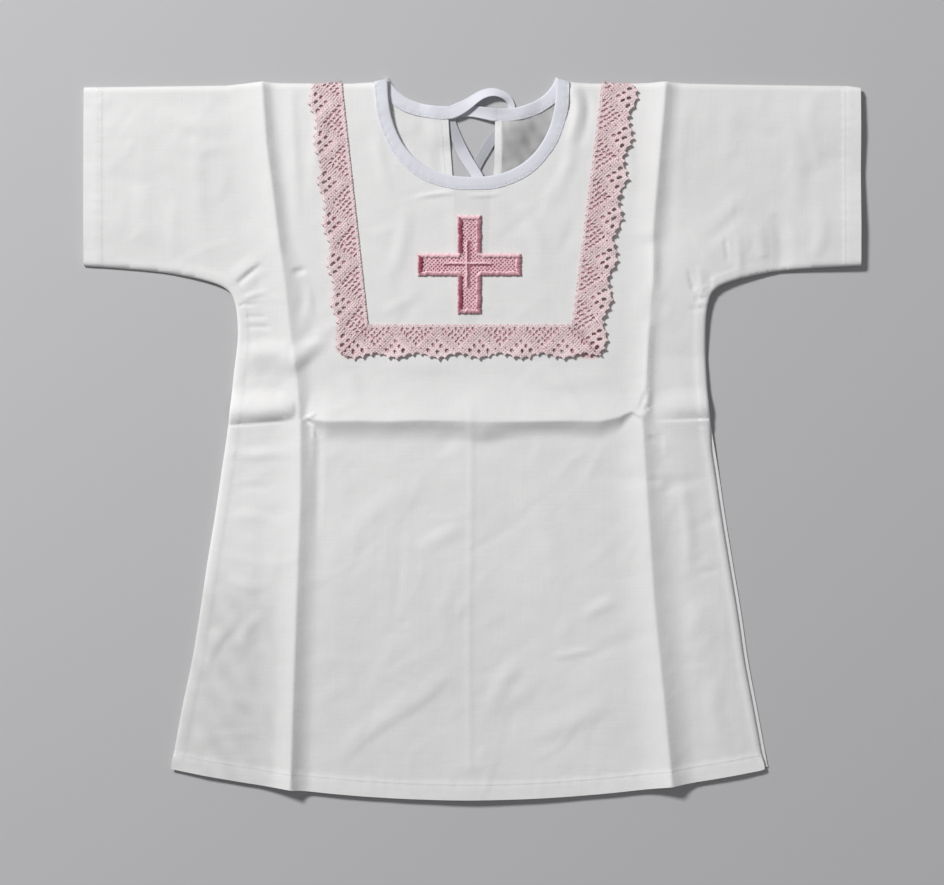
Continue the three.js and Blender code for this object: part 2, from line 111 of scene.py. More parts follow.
# level, crest, height, width to the left of it, width to its right
LEFT_CREASE = np.array(
    [
        (230, -130.6, 3.4, 24, 7),
        (183.5, -127.1, 3.9, 26, 8.4),
        (155.0, -123.3, 3.9, 26, 8.6),
        (122.8, -119.4, 3.5, 24, 8.4),
        (102.3, -116.2, 3.0, 20, 17),
        (70.7, -112.9, 2.9, 18, 17),
        (36.6, -108.2, 2.6, 18, 10),
        (10.0, -106.2, 3.3, 20, 10),
        (-32.9, -106.1, 3.9, 24, 13),
        (-85.6, -107.9, 4.3, 25, 13),
        (-155.0, -110.5, 5.0, 25, 13),
        (-230, -112.6, 6.2, 24, 12),
    ]
)
RIGHT_CREASE = np.array(
    [
        (230, 120.8, 3.8, 20, 10),
        (173.0, 115.6, 4.4, 20, 12),
        (128.0, 111.8, 3.7, 18, 11),
        (121.5, 111.9, 2.2, 16, 9),
        (96.7, 111.6, 2.0, 16, 9),
        (63.2, 108.8, 2.0, 16, 9),
        (10.0, 105.6, 3.1, 16, 12),
        (-36.5, 108.4, 3.8, 20, 16),
        (-102.3, 112.8, 4.3, 21, 18),
        (-172.1, 119.7, 5.1, 22, 17),
        (-230, 125.0, 6.2, 22, 14),
    ]
)
# Level creases as they run across: x, level of the crest, height, width above, width below
LEVEL_CREASES = [
    np.array(
        [
            (-105.5, 15.6, 0.0, 18, 5),
            (-100.0, 12.9, 2.6, 22, 7),
            (-90.0, 11.5, 4.6, 28, 13),
            (-72.0, 11.9, 4.9, 32, 14),
            (-52.0, 11.4, 4.9, 32, 13),
            (-32.0, 12.2, 4.9, 34, 13.5),
            (-12.0, 11.9, 4.7, 30, 12),
            (8.0, 11.2, 4.9, 32, 12.5),
            (30.0, 11.4, 4.6, 30, 10.5),
            (55.0, 11.9, 4.6, 30, 10),
            (79.0, 11.6, 4.2, 28, 11.5),
            (91.0, 14.2, 3.2, 22, 9.5),
            (99.5, 18.2, 2.0, 15, 6),
            (105.5, 20.2, 0.0, 12, 4),
        ]
    ),
    np.array(
        [
            (-158.0, 17.8, 1.8, 13, 9.4),
            (-150.0, 18.0, 3.0, 14, 9.1),
            (-140.0, 18.2, 4.0, 15, 8.4),
            (-125.0, 18.8, 4.6, 15, 7.9),
            (-115.0, 19.2, 4.5, 14, 7.6),
            (-111.0, 19.3, 3.6, 12, 7.5),
            (-107.0, 19.4, 0.2, 10, 7.4),
        ]
    ),
    np.array(
        [
            (-158.0, 7.4, 0.5, 1.8, 11),
            (-150.0, 7.9, 0.6, 1.8, 12),
            (-140.0, 8.7, 0.6, 1.8, 12),
            (-125.0, 9.8, 0.6, 1.8, 12),
            (-115.0, 10.6, 0.5, 1.8, 10),
            (-107.0, 11.0, 0.1, 1.8, 8),
        ]
    ),
    np.array(
        [
            (106.0, 19.8, 0.0, 9, 8.2),
            (112.0, 20.0, 0.4, 12, 8.1),
            (121.0, 20.2, 1.2, 12, 8.0),
            (128.0, 20.2, 2.0, 13, 7.8),
            (141.0, 20.3, 2.2, 13, 7.4),
            (156.0, 20.4, 1.4, 12, 7.1),
        ]
    ),
    np.array(
        [
            (106.0, 10.6, 0.0, 1.8, 10),
            (112.0, 10.9, 0.3, 1.8, 10),
            (121.0, 11.2, 0.6, 1.8, 12),
            (128.0, 11.4, 0.8, 1.8, 12),
            (141.0, 11.9, 0.9, 1.7, 11),
            (156.0, 12.3, 0.8, 1.6, 10),
        ]
    ),
]
LIFTS = [  # x, y, radius, height
    (150, 92, 62, 3.0),
    (243, 104, 75, 3.2),
    (243, 214, 60, 1.8),
    (150, 24, 55, 1.8),
    (-150, 92, 48, 1.4),
    (0, -226, 70, 1.2),
]
TIE_PATHS = [(26.5, 211, 10.2, 184, 6.5, 20), (-17, 206, -15, 196, 6.5, 18)]
TIE_LIFT = 1.75

# x, y, z, width, lean
LEFT_TIE = np.array(
    [
        (-14.6, 203.0, 2.75, 8.0, 0),
        (-13.4, 203.0, 2.75, 8.0, 0),
        (-10.5, 204.1, 2.9, 8.0, -3),
        (-6.0, 206.3, 3.0, 7.8, -8),
        (-1.8, 208.9, 2.9, 7.4, -16),
        (2.2, 211.8, 2.7, 7.0, -24),
        (6.2, 214.2, 2.5, 6.7, -28),
        (10.2, 215.5, 2.4, 6.4, -30),
        (14.2, 215.7, 2.3, 6.0, -30),
        (18.2, 214.6, 2.0, 5.5, -28),
        (21.6, 212.6, 1.5, 4.9, -16),
        (23.9, 209.4, 0.9, 4.4, -2),
        (24.6, 206.0, 0.7, 4.6, 0),
        (23.6, 202.6, 0.7, 5.2, 0),
        (21.4, 198.6, 0.7, 6.0, 0),
        (18.2, 194.4, 0.7, 6.2, 0),
        (14.4, 189.2, 0.7, 6.2, 0),
        (10.8, 184.2, 0.6, 6.4, 0),
        (7.4, 178.6, 0.6, 6.6, 0),
        (4.2, 172.9, 0.6, 6.6, 0),
        (1.9, 167.6, 0.6, 6.2, 0),
        (0.3, 163.2, 0.6, 6.2, 0),
        (-1.7, 158.2, 0.6, 6.8, 0),
        (-3.6, 152.2, 0.6, 7.4, 0),
        (-4.7, 145.6, 0.6, 7.8, 0),
        (-5.2, 136.0, 0.6, 8.0, 0),
        (-5.4, 125.0, 0.6, 8.0, 0),
        (-5.2, 113.0, 0.6, 8.0, 0),
    ]
)
RIGHT_TIE = np.array(
    [
        (14.1, 201.8, 2.75, 8.0, 0),
        (12.9, 201.8, 2.75, 8.0, 0),
        (10.0, 202.4, 2.5, 7.6, 0),
        (5.0, 203.3, 1.9, 7.2, 0),
        (0.5, 203.9, 1.3, 7.0, 0),
        (-3.6, 204.2, 0.9, 7.0, 0),
        (-7.4, 204.1, 0.6, 7.0, 0),
        (-10.8, 203.2, 0.6, 7.0, 0),
        (-13.2, 201.2, 0.6, 7.0, 0),
        (-13.8, 198.4, 0.6, 7.0, 0),
        (-12.7, 195.2, 0.55, 6.7, 0),
        (-10.85, 191.6, 0.5, 6.1, 0),
        (-9.3, 186.9, 0.52, 7.0, 0),
        (-7.2, 181.9, 1.0, 7.0, 0),
        (-4.9, 177.0, 1.8, 7.0, 0),
        (-2.0, 172.1, 2.0, 7.0, 0),
        (1.2, 167.2, 2.0, 7.0, 0),
        (4.0, 162.1, 2.0, 7.0, 0),
        (5.6, 157.0, 1.8, 7.2, 0),
        (6.2, 151.5, 1.3, 7.4, 0),
        (5.6, 145.0, 0.7, 7.8, 0),
        (5.1, 136.0, 0.6, 8.0, 0),
        (4.6, 126.0, 0.6, 8.0, 0),
        (4.1, 115.0, 0.6, 8.0, 0),
        (3.0, 105.5, 0.6, 8.0, 0),
        (0.8, 96.0, 0.6, 8.0, 0),
        (-1.5, 87.0, 0.6, 8.0, 0),
    ]
)

LACE_U = [(-80.6, 222.0), (-64.2, 71.6), (61.8, 71.6), (80.6, 222.0)]
CROSS_AT = (-1.6, 108.6)

# Small creases of the front: points with a height each, then the width on the left and on the right of the run
FOLDS = [
    ([(-112.2, 222.0, 0.5), (-109.7, 179.8, 0.7), (-107.3, 129.0, 0.0)], 4, 6),
    ([(112.2, 125.9, 0.2), (112.4, 110.0, 1.1), (112.2, 93.0, 0.4)], 5, 3.5),
    ([(109.1, 75.0, 0.3), (108.8, 45.0, 1.0), (108.5, 15.5, 0.8)], 4, 4),
    ([(-152.5, -8.7, 0.5), (-131.4, -9.3, 0.9), (-109.7, -8.1, 0.2)], 6, 5),
    (
        [
            (-1.2, 34.1, 0.0),
            (-0.6, 4.0, 0.45),
            (-0.6, -37.2, 0.5),
            (-1.9, -124.0, 0.5),
            (-1.2, -222.2, 0.4),
        ],
        2.4,
        2.4,
    ),
    ([(-116.0, 43.0, 0.9), (-103.5, 53.5, 2.1), (-89.5, 65.0, 0.4)], 10, 7.5),
    ([(-144.0, 51.0, 0.5), (-128.0, 53.5, 2.5), (-112.0, 52.5, 1.9)], 11, 14),
    ([(-148.6, 97.6, 0.5), (-139.4, 105.4, 1.2), (-131.0, 111.6, 0.3)], 9, 2.4),
    ([(-145.8, 96.2, -0.3), (-137.8, 103.0, -0.5), (-131.2, 108.4, -0.1)], 1.0, 2.2),
    ([(-143.6, 93.0, 0.3), (-133.9, 101.4, 0.45), (-125.8, 105.0, 0.1)], 4, 5),
    ([(-145.7, 81.2, -0.7), (-142.4, 83.8, -0.9), (-138.0, 83.8, -0.6), (-131.3, 84.5, -0.1)], 1.2, 1.4),
    ([(-141.7, 87.5, 0.8), (-131.5, 90.9, 0.5), (-124.0, 92.0, 0)], 3, 3),
    ([(-140.1, 76.3, -0.6), (-127.7, 76.3, -0.4)], 2.4, 2.4),
    ([(-140.1, 70.1, -0.6), (-125.2, 70.1, -0.5)], 2.4, 2.4),
    ([(-110.1, 103.9, -1.1), (-104.0, 105.6, -0.9)], 3, 4),
    ([(-103.0, 104.0, 0.1), (-100.0, 86.0, 0.4), (-97.5, 72.0, 0.1)], 3, 6),
    ([(134.2, 104.7, -0.5), (137.6, 93.0, -1.2)], 2.4, 2.4),
    ([(147.0, 103.7, -0.3), (147.8, 92.0, -1.0)], 2.0, 2.0),
    ([(141.0, 106.7, 0.3), (142.4, 92.0, 0.9)], 3.0, 3.0),
    ([(156.9, 124.0, -0.8), (158.7, 110.8, -0.5)], 2.4, 2.4),
    ([(164.9, 126.0, 0.3), (165.7, 104.8, 0.7)], 4.4, 4.4),
    ([(186.0, 140.8, -0.3), (191.0, 128.8, -1.1), (192.4, 104.5, -0.6)], 9, 6),
    ([(178.0, 133.0, 0.3), (180.4, 112.0, 0.8)], 6, 6),
    ([(138.9, 87.4, -0.9), (145.7, 87.4, -1.2)], 1.8, 1.8),
    ([(134.9, 81.2, -0.4), (145.7, 81.2, -0.8)], 2.2, 2.2),
    ([(-36.2, 150.3, 0.2), (-22.3, 152.6, 0.9), (-10.6, 153.4, 0.3)], 1.8, 2.6),
    ([(-4.2, 151.3, 0.2), (8.3, 151.6, 0.7), (18.6, 152.8, 0.1)], 1.8, 2.2),
    # soft diagonals of the lower front
    ([(-2.5, -52.0, 0.2), (-20.0, -60.0, 0.9), (-36.0, -70.0, 0.1)], 9, 7),
    ([(-10.0, -138.0, 0.1), (-28.0, -158.0, 0.75), (-50.0, -172.0, 0.6), (-70.0, -186.0, 0.75), (-84.0, -203.0, 0.2)], 6, 11),
    ([(30.0, -137.0, 0.2), (18.0, -152.0, 0.9), (8.0, -172.0, 0.1)], 8, 8),
    ([(50.8, -134.5, 0.5), (66.0, -132.0, 0.7), (78.7, -130.2, 0.1)], 3, 2),
    ([(88.7, -99.0, 0.3), (78.0, -104.0, 0.8), (68.0, -110.0, 0.1)], 6, 6),
    ([(-24.0, -24.0, 0.1), (-58.0, -44.0, 0.7), (-80.0, -70.0, 0.1)], 12, 12),
    ([(28.0, -26.0, 0.1), (46.0, -56.0, 0.6), (52.0, -92.0, 0.1)], 12, 12),
    ([(86.0, -160.0, 0.1), (60.0, -176.0, 0.8), (28.0, -186.0, 0.1)], 9, 12),
    ([(-44.6, -112.5, -0.6), (-40.0, -113.5, -0.5)], 2.4, 2.4),
    ([(-12.0, -90.0, 0.2), (-18.0, -104.0, 0.5), (-20.0, -120.0, 0.0)], 8, 8),
    # side parts below the waist
    ([(-143.8, -109.0, 0.2), (-158.0, -126.0, 1.0), (-168.0, -148.8, 0.2)], 4, 8),
    ([(-128.0, -106.0, 0.1), (-138.0, -116.0, 0.7), (-146.0, -132.0, 0.0)], 5, 6),
    ([(-152.0, -86.0, 0.4), (-136.0, -92.0, 0.7), (-124.0, -90.0, 0.0)], 7, 5),
    ([(-148.0, -48.0, 0.5), (-134.0, -47.0, 0.5), (-122.0, -50.0, 0.0)], 6, 6),
    ([(-146.0, -30.0, -0.3), (-134.0, -29.0, -0.5), (-122.0, -32.0, 0.0)], 4, 4),
    ([(-164.0, -184.0, 0.1), (-148.0, -182.0, 0.4), (-132.0, -182.5, 0.1)], 3, 4),
    ([(-152.0, -160.0, 0.2), (-140.0, -164.0, 0.7), (-128.0, -176.0, 0.1)], 7, 7),
    ([(129.0, -20.0, 0.2), (134.0, -60.0, 0.9), (134.0, -84.0, 0.1)], 7, 5),
    ([(118.0, -28.0, -0.3), (132.0, -26.0, -0.6), (146.0, -24.0, -0.2)], 6, 6),
    ([(118.0, -32.0, -0.5), (124.0, -31.0, -0.5)], 3, 3),
    ([(132.0, -102.0, 0.2), (142.0, -112.0, 0.8), (154.0, -124.0, 0.1)], 8, 8),
    ([(140.0, -82.5, -0.3), (152.0, -80.5, -0.5)], 3, 3),
    ([(152.0, -140.0, 0.2), (150.0, -168.0, 0.8), (158.0, -196.0, 0.2)], 9, 9),
    ([(-126.0, -60.0, 0.1), (-123.0, -120.0, 0.5), (-126.0, -200.0, 0.1)], 9, 9),
    # yoke and upper body
    ([(-92.0, 206.0, 0.2), (-97.0, 176.0, 0.7), (-98.0, 150.0, 0.1)], 6, 6),
    ([(94.0, 206.0, 0.1), (98.0, 170.0, 0.6), (96.0, 134.0, 0.1)], 6, 6),
    ([(-60.0, 196.0, 0.3), (-56.0, 170.0, 0.7), (-50.0, 150.0, 0.1)], 6, 6),
    ([(-40.0, 146.0, 0.2), (-44.0, 120.0, 0.8), (-52.0, 96.0, 0.1)], 7, 7),
    ([(-34.0, 90.0, 0.1), (-46.0, 84.0, 0.5), (-58.0, 76.0, 0.1)], 5, 5),
    ([(28.0, 148.0, 0.2), (40.0, 128.0, 0.6), (44.0, 100.0, 0.1)], 8, 8),
    ([(62.0, 196.0, 0.2), (60.0, 172.0, 0.7), (50.0, 146.0, 0.1)], 6, 6),
    ([(-66.0, 40.0, 0.2), (-30.0, 46.0, 0.6), (10.0, 38.0, 0.1)], 12, 9),
    ([(30.0, 44.0, 0.2), (60.0, 36.0, 0.7), (92.0, 42.0, 0.1)], 10, 10),
    ([(40.0, 60.0, 0.1), (60.0, 30.0, 0.5), (70.0, 12.0, 0.1)], 6, 6),
    ([(-92.0, 60.0, 0.2), (-76.0, 40.0, 0.6), (-70.0, 24.0, 0.0)], 7, 7),
    # sleeves
    ([(-196.0, 204.0, 0.1), (-178.0, 196.0, 0.6), (-150.0, 192.0, 0.0)], 9, 7),
    ([(-224.0, 168.0, -0.2), (-212.0, 160.0, -0.8), (-196.0, 158.0, 0.0)], 8, 8),
    ([(-168.0, 206.0, 0.2), (-170.0, 160.0, 0.5), (-166.0, 118.0, 0.1)], 8, 8),
    ([(-204.0, 180.0, 0.1), (-205.0, 150.0, 0.4), (-203.0, 116.0, 0.2)], 9, 9),
    ([(-184.0, 150.0, 0.1), (-186.0, 130.0, 0.5), (-182.0, 112.0, 0.1)], 6, 6),
    ([(160.0, 200.0, -0.2), (176.0, 190.0, -0.7), (192.0, 186.0, 0.0)], 7, 7),
    ([(146.0, 134.0, 0.1), (160.0, 144.0, 0.45), (170.0, 156.0, 0.0)], 7, 7),
    ([(144.0, 122.0, -0.2), (158.0, 132.0, -0.4), (168.0, 144.0, 0.0)], 6, 6),
    ([(206.0, 160.0, -0.1), (218.0, 172.0, -0.35), (230.0, 180.0, -0.1)], 8, 8),
    ([(196.0, 208.0, 0.1), (202.0, 170.0, 0.6), (198.0, 130.0, 0.1)], 9, 9),
    ([(214.0, 150.0, 0.1), (216.0, 130.0, 0.7), (212.0, 112.0, 0.3)], 7, 7),
    ([(132.0, 206.0, 0.3), (128.0, 176.0, 0.6), (130.0, 140.0, 0.1)], 7, 9),
    # beside the neck and where the creases cross
    ([(67.0, 222.0, -0.5), (72.6, 208.0, -0.9), (70.8, 193.0, -0.6), (66.0, 180.0, -0.1)], 3, 5),
    ([(60.5, 222.0, 1.1), (64.5, 208.0, 2.2), (62.6, 194.0, 1.5), (59.0, 182.0, 0.1)], 9, 3),
    ([(137.0, 9.4, -0.2), (147.2, 9.6, -0.8)], 0.9, 0.9),
    ([(-104.6, 12.6, 0.9), (-100.6, 14.0, 1.0), (-96.6, 16.8, 0.4)], 1.7, 1.5),
    ([(-107.0, 16.0, -0.9), (-101.6, 11.6, -1.1), (-97.6, 9.4, -0.4)], 1.6, 1.9),
    ([(-98.4, 8.6, 0.7), (-97.6, -2.0, 0.9), (-97.8, -18.0, 0.2)], 1.5, 2.6),
    ([(-95.4, 6.0, -0.5), (-95.6, -32.0, -0.8), (-97.0, -68.0, 0.0)], 4, 5),
    ([(99.6, 18.0, 1.0), (103.6, 15.2, 1.2), (105.6, 13.4, 0.3)], 2.2, 1.8),
    ([(104.6, 17.6, -0.8), (108.2, 19.6, -1.1), (110.6, 21.0, -0.1)], 1.6, 1.6),
    ([(107.4, 30.0, -0.8), (105.6, 22.6, -0.9), (103.6, 18.8, -0.3)], 2.4, 2.4),
    ([(109.6, 1.6, -0.7), (113.4, 0.6, -0.9), (116.6, -2.0, -0.2)], 2.0, 2.6),
    ([(116.8, 2.6, -0.6), (116.6, -2.0, -0.7), (116.8, -7.0, -0.1)], 1.0, 1.2),
    ([(120.4, 0.6, 0.4), (120.2, -6.0, 0.5), (120.4, -13.0, 0.1)], 1.1, 1.1),
    ([(110.0, -24.0, -0.4), (114.0, -25.4, -0.8), (118.0, -24.6, -0.2)], 3.2, 3.2),
    ([(-74.0, -19.0, 0.1), (-70.0, -24.0, 0.5), (-66.0, -26.0, 0.1)], 2.0, 2.0),
]


def smooth(t):
    u = np.clip(t, 0, 1)
    return u * u * (3 - 2 * u)


def col(rows, y, k):
    """Column k at the levels y, in a table that runs from high y to low y."""
    return np.interp(y, rows[::-1, 0], rows[::-1, k])


def spline(points, n):
    """A smooth line through points (any number of columns), n points along it."""
    p = np.asarray(points, float)
    knots = np.concatenate(
        [[0], np.cumsum(np.sqrt(np.linalg.norm(np.diff(p[:, :2], axis=0), axis=1)))]
    )
    q = np.vstack([2 * p[0] - p[1], p, 2 * p[-1] - p[-2]])
    k = np.concatenate(
        [[2 * knots[0] - knots[1]], knots, [2 * knots[-1] - knots[-2]]]
    )
    t = np.linspace(knots[0], knots[-1], n)
    i = np.clip(np.searchsorted(knots, t, "right") - 1, 0, len(knots) - 2)
    t0, t1, t2, t3 = (k[i + j][:, None] for j in range(4))
    p0, p1, p2, p3 = (q[i + j] for j in range(4))
    t = t[:, None]
    a1 = (t1 - t) / (t1 - t0) * p0 + (t - t0) / (t1 - t0) * p1
    a2 = (t2 - t) / (t2 - t1) * p1 + (t - t1) / (t2 - t1) * p2
    a3 = (t3 - t) / (t3 - t2) * p2 + (t - t2) / (t3 - t2) * p3
    b1 = (t2 - t) / (t2 - t0) * a1 + (t - t0) / (t2 - t0) * a2
    b2 = (t3 - t) / (t3 - t1) * a2 + (t - t1) / (t3 - t1) * a3
    return (t2 - t) / (t2 - t1) * b1 + (t - t1) / (t2 - t1) * b2


def even(line, step):
    """The same line with evenly spaced points, about step apart."""
    line = np.asarray(line, float)
    s = np.concatenate(
        [[0], np.cumsum(np.linalg.norm(np.diff(line[:, :2], axis=0), axis=1))]
    )
    n = max(2, int(round(s[-1] / step)) + 1)
    t = np.linspace(0, s[-1], n)
    return np.stack([np.interp(t, s, line[:, k]) for k in range(line.shape[1])], 1)


def to_line(x, y, line, near=None):
    """Distance to a polyline, signed side (left of its run is positive), and how far along it, 0 to 1."""
    best = np.full(x.shape, 1e9)
    side = np.zeros(x.shape)
    along = np.zeros(x.shape)
    n = len(line) - 1
    for i in range(n):
        ax, ay = line[i][:2]
        bx, by = line[i + 1][:2]
        dx, dy = bx - ax, by - ay
        t = np.clip(
            ((x - ax) * dx + (y - ay) * dy) / max(dx * dx + dy * dy, 1e-9), 0, 1
        )
        ex, ey = x - ax - t * dx, y - ay - t * dy
        d = ex * ex + ey * ey
        m = d < best
        best = np.where(m, d, best)
        side = np.where(m, np.sign(dx * (y - ay) - dy * (x - ax)), side)
        along = np.where(m, (i + t) / n, along)
    return np.sqrt(best), side, along


LEFT_SEAM = spline(SIDE[:, [1, 0]], 160)
RIGHT_SEAM = spline(SIDE[:, [2, 0]], 160)
SEAM_LINES = [
    [p for p in SHOULDER if p[0] <= -60],
    [p for p in SHOULDER if p[0] >= 60],
    LEFT_SEAM[::4],
    RIGHT_SEAM[::4],
]


def crumple(seed, count, boxes):
    """Short soft folds, uneven in run, length, depth and width, in boxes of x, y and how dense they are."""
    r = np.random.default_rng(seed)
    area = np.array([(x1 - x0) * (y1 - y0) * dense for x0, y0, x1, y1, dense, _ in boxes])
    table = []
    for _ in range(count):
        x0, y0, x1, y1, _, lean = boxes[r.choice(len(boxes), p=area / area.sum())]
        x, y = r.uniform(x0, x1), r.uniform(y0, y1)
        turn = math.radians(r.normal(lean, 32))
        length = r.gamma(3.0, 8.0) + 8
        wide = r.uniform(2.2, 7.5)
        high = r.uniform(0.07, 0.20) * wide / 3.4 * (1 if r.random() < 0.62 else -1)
        bend = r.normal(0, 0.16) * length
        dx, dy = math.cos(turn) * length / 2, math.sin(turn) * length / 2
        table.append(
            (
                [
                    (x - dx, y - dy, 0.2 * high),
                    (x - dy * bend / length, y + dx * bend / length, high),
                    (x + dx, y + dy, 0.1 * high),
                ],
                wide * r.uniform(0.6, 1.4),
                wide * r.uniform(0.6, 1.4),
            )
        )
    return table


def to_seam(x, y):
    return np.min([to_line(x, y, line)[0] for line in SEAM_LINES], axis=0)


def roll(y):
    return 2.2 * smooth((14 - y) / 24)


def tent(d, before, after, soft=0.55):
    """A crease's section: steep beside its crest, which is rounded a little, and flat where it ends."""
    d = np.sign(d) * (np.sqrt(d * d + soft * soft) - soft)
    t = np.where(d < 0, -d / before, d / after)
    return np.where(t >= 1, 0, (1 - np.minimum(t, 1)) ** 2)


def rollover(d, before, after):
    """The section of a crease that rounds over and drops steepest at its foot."""
    up, down = np.clip(-d / before, 0, 1), np.clip(d / after, 0, 1)
    return np.where(d < 0, (1 - up) ** 2 * (1 + 2 * up), 1 - down**2.2)


def creases(x, y):
    total = np.zeros(np.shape(x))
    for rows in (LEFT_CREASE, RIGHT_CREASE):
        total += (
            col(rows, y, 2)
            * tent(x - col(rows, y, 1), col(rows, y, 3), col(rows, y, 4))
        ) ** 3
    for n, rows in enumerate(LEVEL_CREASES):
        crest, high, above, below = (
            np.interp(x, rows[:, 0], rows[:, k]) for k in (1, 2, 3, 4)
        )
        on = (x >= rows[0, 0]) & (x <= rows[-1, 0])
        if n in (1, 3):
            section = rollover(crest - y, above, below)
        else:
            section = tent(crest - y, above, below, 0.55)
        if n == 0:
            # near its middle the long crease bulges down to a sharper foot
            part = 0.5 * np.exp(-(((x - 4) / 20) ** 2))
            section = section * (1 - part) + part * rollover(crest - y, above, below)
        total += np.where(on, high * section, 0) ** 3
    return np.cbrt(total)


def lifts(x, y):
    most = np.zeros(np.shape(x))
    for lx, ly, r, high in LIFTS:
        t = np.hypot(x - lx, y - ly) / r
        most = np.maximum(most, np.where(t >= 1, 0, high * (1 - t * t) ** 2))
    return most


def over_ties(x, y):
    most = np.zeros(np.shape(x))
    for x0, y0, x1, y1, flat, fade in TIE_PATHS:
        d = to_line(x, y, [(x0, y0), (x1, y1)])[0]
        most = np.maximum(most, TIE_LIFT * (1 - smooth((d - flat) / (fade - flat))))
    return most


def back_low(x, y):
    return creases(x, y) + lifts(x, y) + over_ties(x, y)


def front_low(x, y):
    off = smooth(to_seam(x, y) / LOFT_WIDTH)
    at_neck = np.exp(-((x / 55) ** 2 + ((y - 160) / 45) ** 2)) * NECK_LOFT
    by_binding = (
        0.45 * (1 - smooth((np.abs(x) - 62) / 14)) * smooth((y - 190) / 20)
    )
    low = (
        creases(x, y)
        + lifts(x, y)
        + CLOTH
        + SEAM
        + by_binding
        + off * (LOFT + at_neck)
    )
    return np.maximum(low, back_low(x, y) + CLOTH + SEAM)


def ripple(x, y, seed, size):
    """Gentle uneven swell, about 1 high, with waves about size long."""
    r = np.random.default_rng(seed)
    total = np.zeros(np.shape(x))
    for _ in range(7):
        a, k, p = r.uniform(0, math.pi), r.uniform(0.6, 1.5), r.uniform(0, 6.28)
        w = 2 * math.pi * k / size
        total += np.sin(w * (x * math.cos(a) + y * math.sin(a)) + p) * r.uniform(
            0.5, 1
        )
    return total / 3.2


FOLD_LINES = {}


def folds(x, y, table, scale=1.0):
    total = np.zeros(np.shape(x))
    if id(table) not in FOLD_LINES:
        FOLD_LINES[id(table)] = [
            spline(points, 9) if len(points) > 2 else np.array(points, float)
            for points, _, _ in table
        ]
    for (points, left, right), line in zip(table, FOLD_LINES[id(table)]):
        reach = max(left, right) + 1
        m = (
            (x > line[:, 0].min() - reach)
            & (x < line[:, 0].max() + reach)
            & (y > line[:, 1].min() - reach)
            & (y < line[:, 1].max() + reach)
        )
        if not m.any():
            continue
        d, side, along = to_line(x[m], y[m], line)
        high = np.interp(along, np.linspace(0, 1, len(line)), line[:, 2])
        width = np.where(side >= 0, left, right)
        t = np.clip(d / width, 0, 1)
        ends = smooth(along / 0.12) * smooth((1 - along) / 0.12)
        total[m] += scale * high * (1 - t) ** 2 * (1 + 2 * t) * (0.35 + 0.65 * ends)
    return total


def hem_y(x, up=0.0):
    l, r = SIDE[-1, 1], SIDE[-1, 2]
    half = np.where(x > HEM_LOW[0], r - HEM_LOW[0], HEM_LOW[0] - l)
    return HEM_LOW[1] + (HEM_CORNER_Y - HEM_LOW[1]) * ((x - HEM_LOW[0]) / half) ** 2 + up


HEM = 10.4  # depth of the turned hem
CUFF_HEM = 10.7


def hems(x, y, up):
    """1 on the turned hems of cuffs and hem, 0 elsewhere, and the groove of their stitching."""
    d = np.minimum(CUFF_X - np.abs(x) - CUFF_HEM, y - hem_y(x, up) - HEM)
    on = 1 - smooth((d + 0.4) / 0.8)
    groove = np.exp(-(((d + 1.2) / 0.55) ** 2))
    return on, groove


# The back's neck edge on its two sides, from the shoulder to the slit
BACK_EDGE_LEFT = [
    (-52.2, 223.6),
    (-50.3, 220.4),
    (-46.2, 216.4),
    (-41.6, 213.1),
    (-37.0, 210.8),
    (-28.5, 208.3),
    (-21.5, 207.3),
    (-14.62, 207.1),
]
BACK_EDGE_RIGHT = [
    (52.2, 223.6),
    (49.9, 219.2),
    (45.6, 214.9),
    (39.8, 210.9),
    (32.4, 207.7),
    (27.2, 206.3),
    (21.5, 205.8),
    (14.12, 205.9),
]


def beside(line, d):
    """The line moved d away from the neck's middle."""
    run = np.gradient(line, axis=0)
    run /= np.linalg.norm(run, axis=1)[:, None]
    out = np.column_stack([run[:, 1], -run[:, 0]])
    out *= np.sign(np.einsum("ij,ij->i", out, line - [0, 260.0]).mean())
    return line + out * d


def neck_line(half, deep, n=200):
    """From the right end down and up to the left end."""
    a = np.linspace(0, math.pi, n)
    c, s, p = np.cos(a), np.sin(a), 2 / NECK["power"]
    line = np.stack(
        [half * np.sign(c) * np.abs(c) ** p, NECK["y"] - deep * np.abs(s) ** p], 1
    )
    return even(line, 0.9)


# x from, y from, x to, y to, how dense, and the usual run in degrees
CRUMPLE = crumple(
    7,
    230,
    [
        (-95, -215, 105, 5, 1.0, 48),
        (-95, 18, 100, 70, 1.2, 20),
        (-60, 75, 60, 160, 0.9, 70),
        (-185, -215, -118, 10, 1.3, 30),
        (118, -215, 182, 8, 1.3, 55),
        (-150, 20, -115, 100, 1.4, 15),
        (115, 20, 145, 100, 1.4, 80),
        (-236, 112, -132, 216, 0.9, 60),
        (128, 112, 236, 216, 1.0, 75),
        (-112, 75, -84, 215, 1.4, 85),
        (84, 75, 110, 215, 1.2, 85),
    ],
)
CRUMPLE_BACK = crumple(
    8,
    110,
    [
        (-180, -210, 180, 0, 1.0, 50),
        (-140, 0, 140, 150, 1.0, 60),
        (-236, 112, -132, 216, 0.9, 60),
        (128, 112, 236, 216, 1.0, 75),
    ],
)

BACK_FOLDS = [
    ([(-70.0, -120.0, 0.2), (-30.0, -140.0, 0.8), (10.0, -150.0, 0.1)], 9, 9),
    ([(90.0, -60.0, 0.2), (60.0, -90.0, 0.8), (40.0, -130.0, 0.1)], 9, 9),
    ([(-140.0, 100.0, 0.3), (-128.0, 112.0, 1.0), (-116.0, 118.0, 0.1)], 4, 4),
    ([(140.0, 100.0, 0.3), (128.0, 112.0, 1.0), (116.0, 118.0, 0.1)], 4, 4),
]
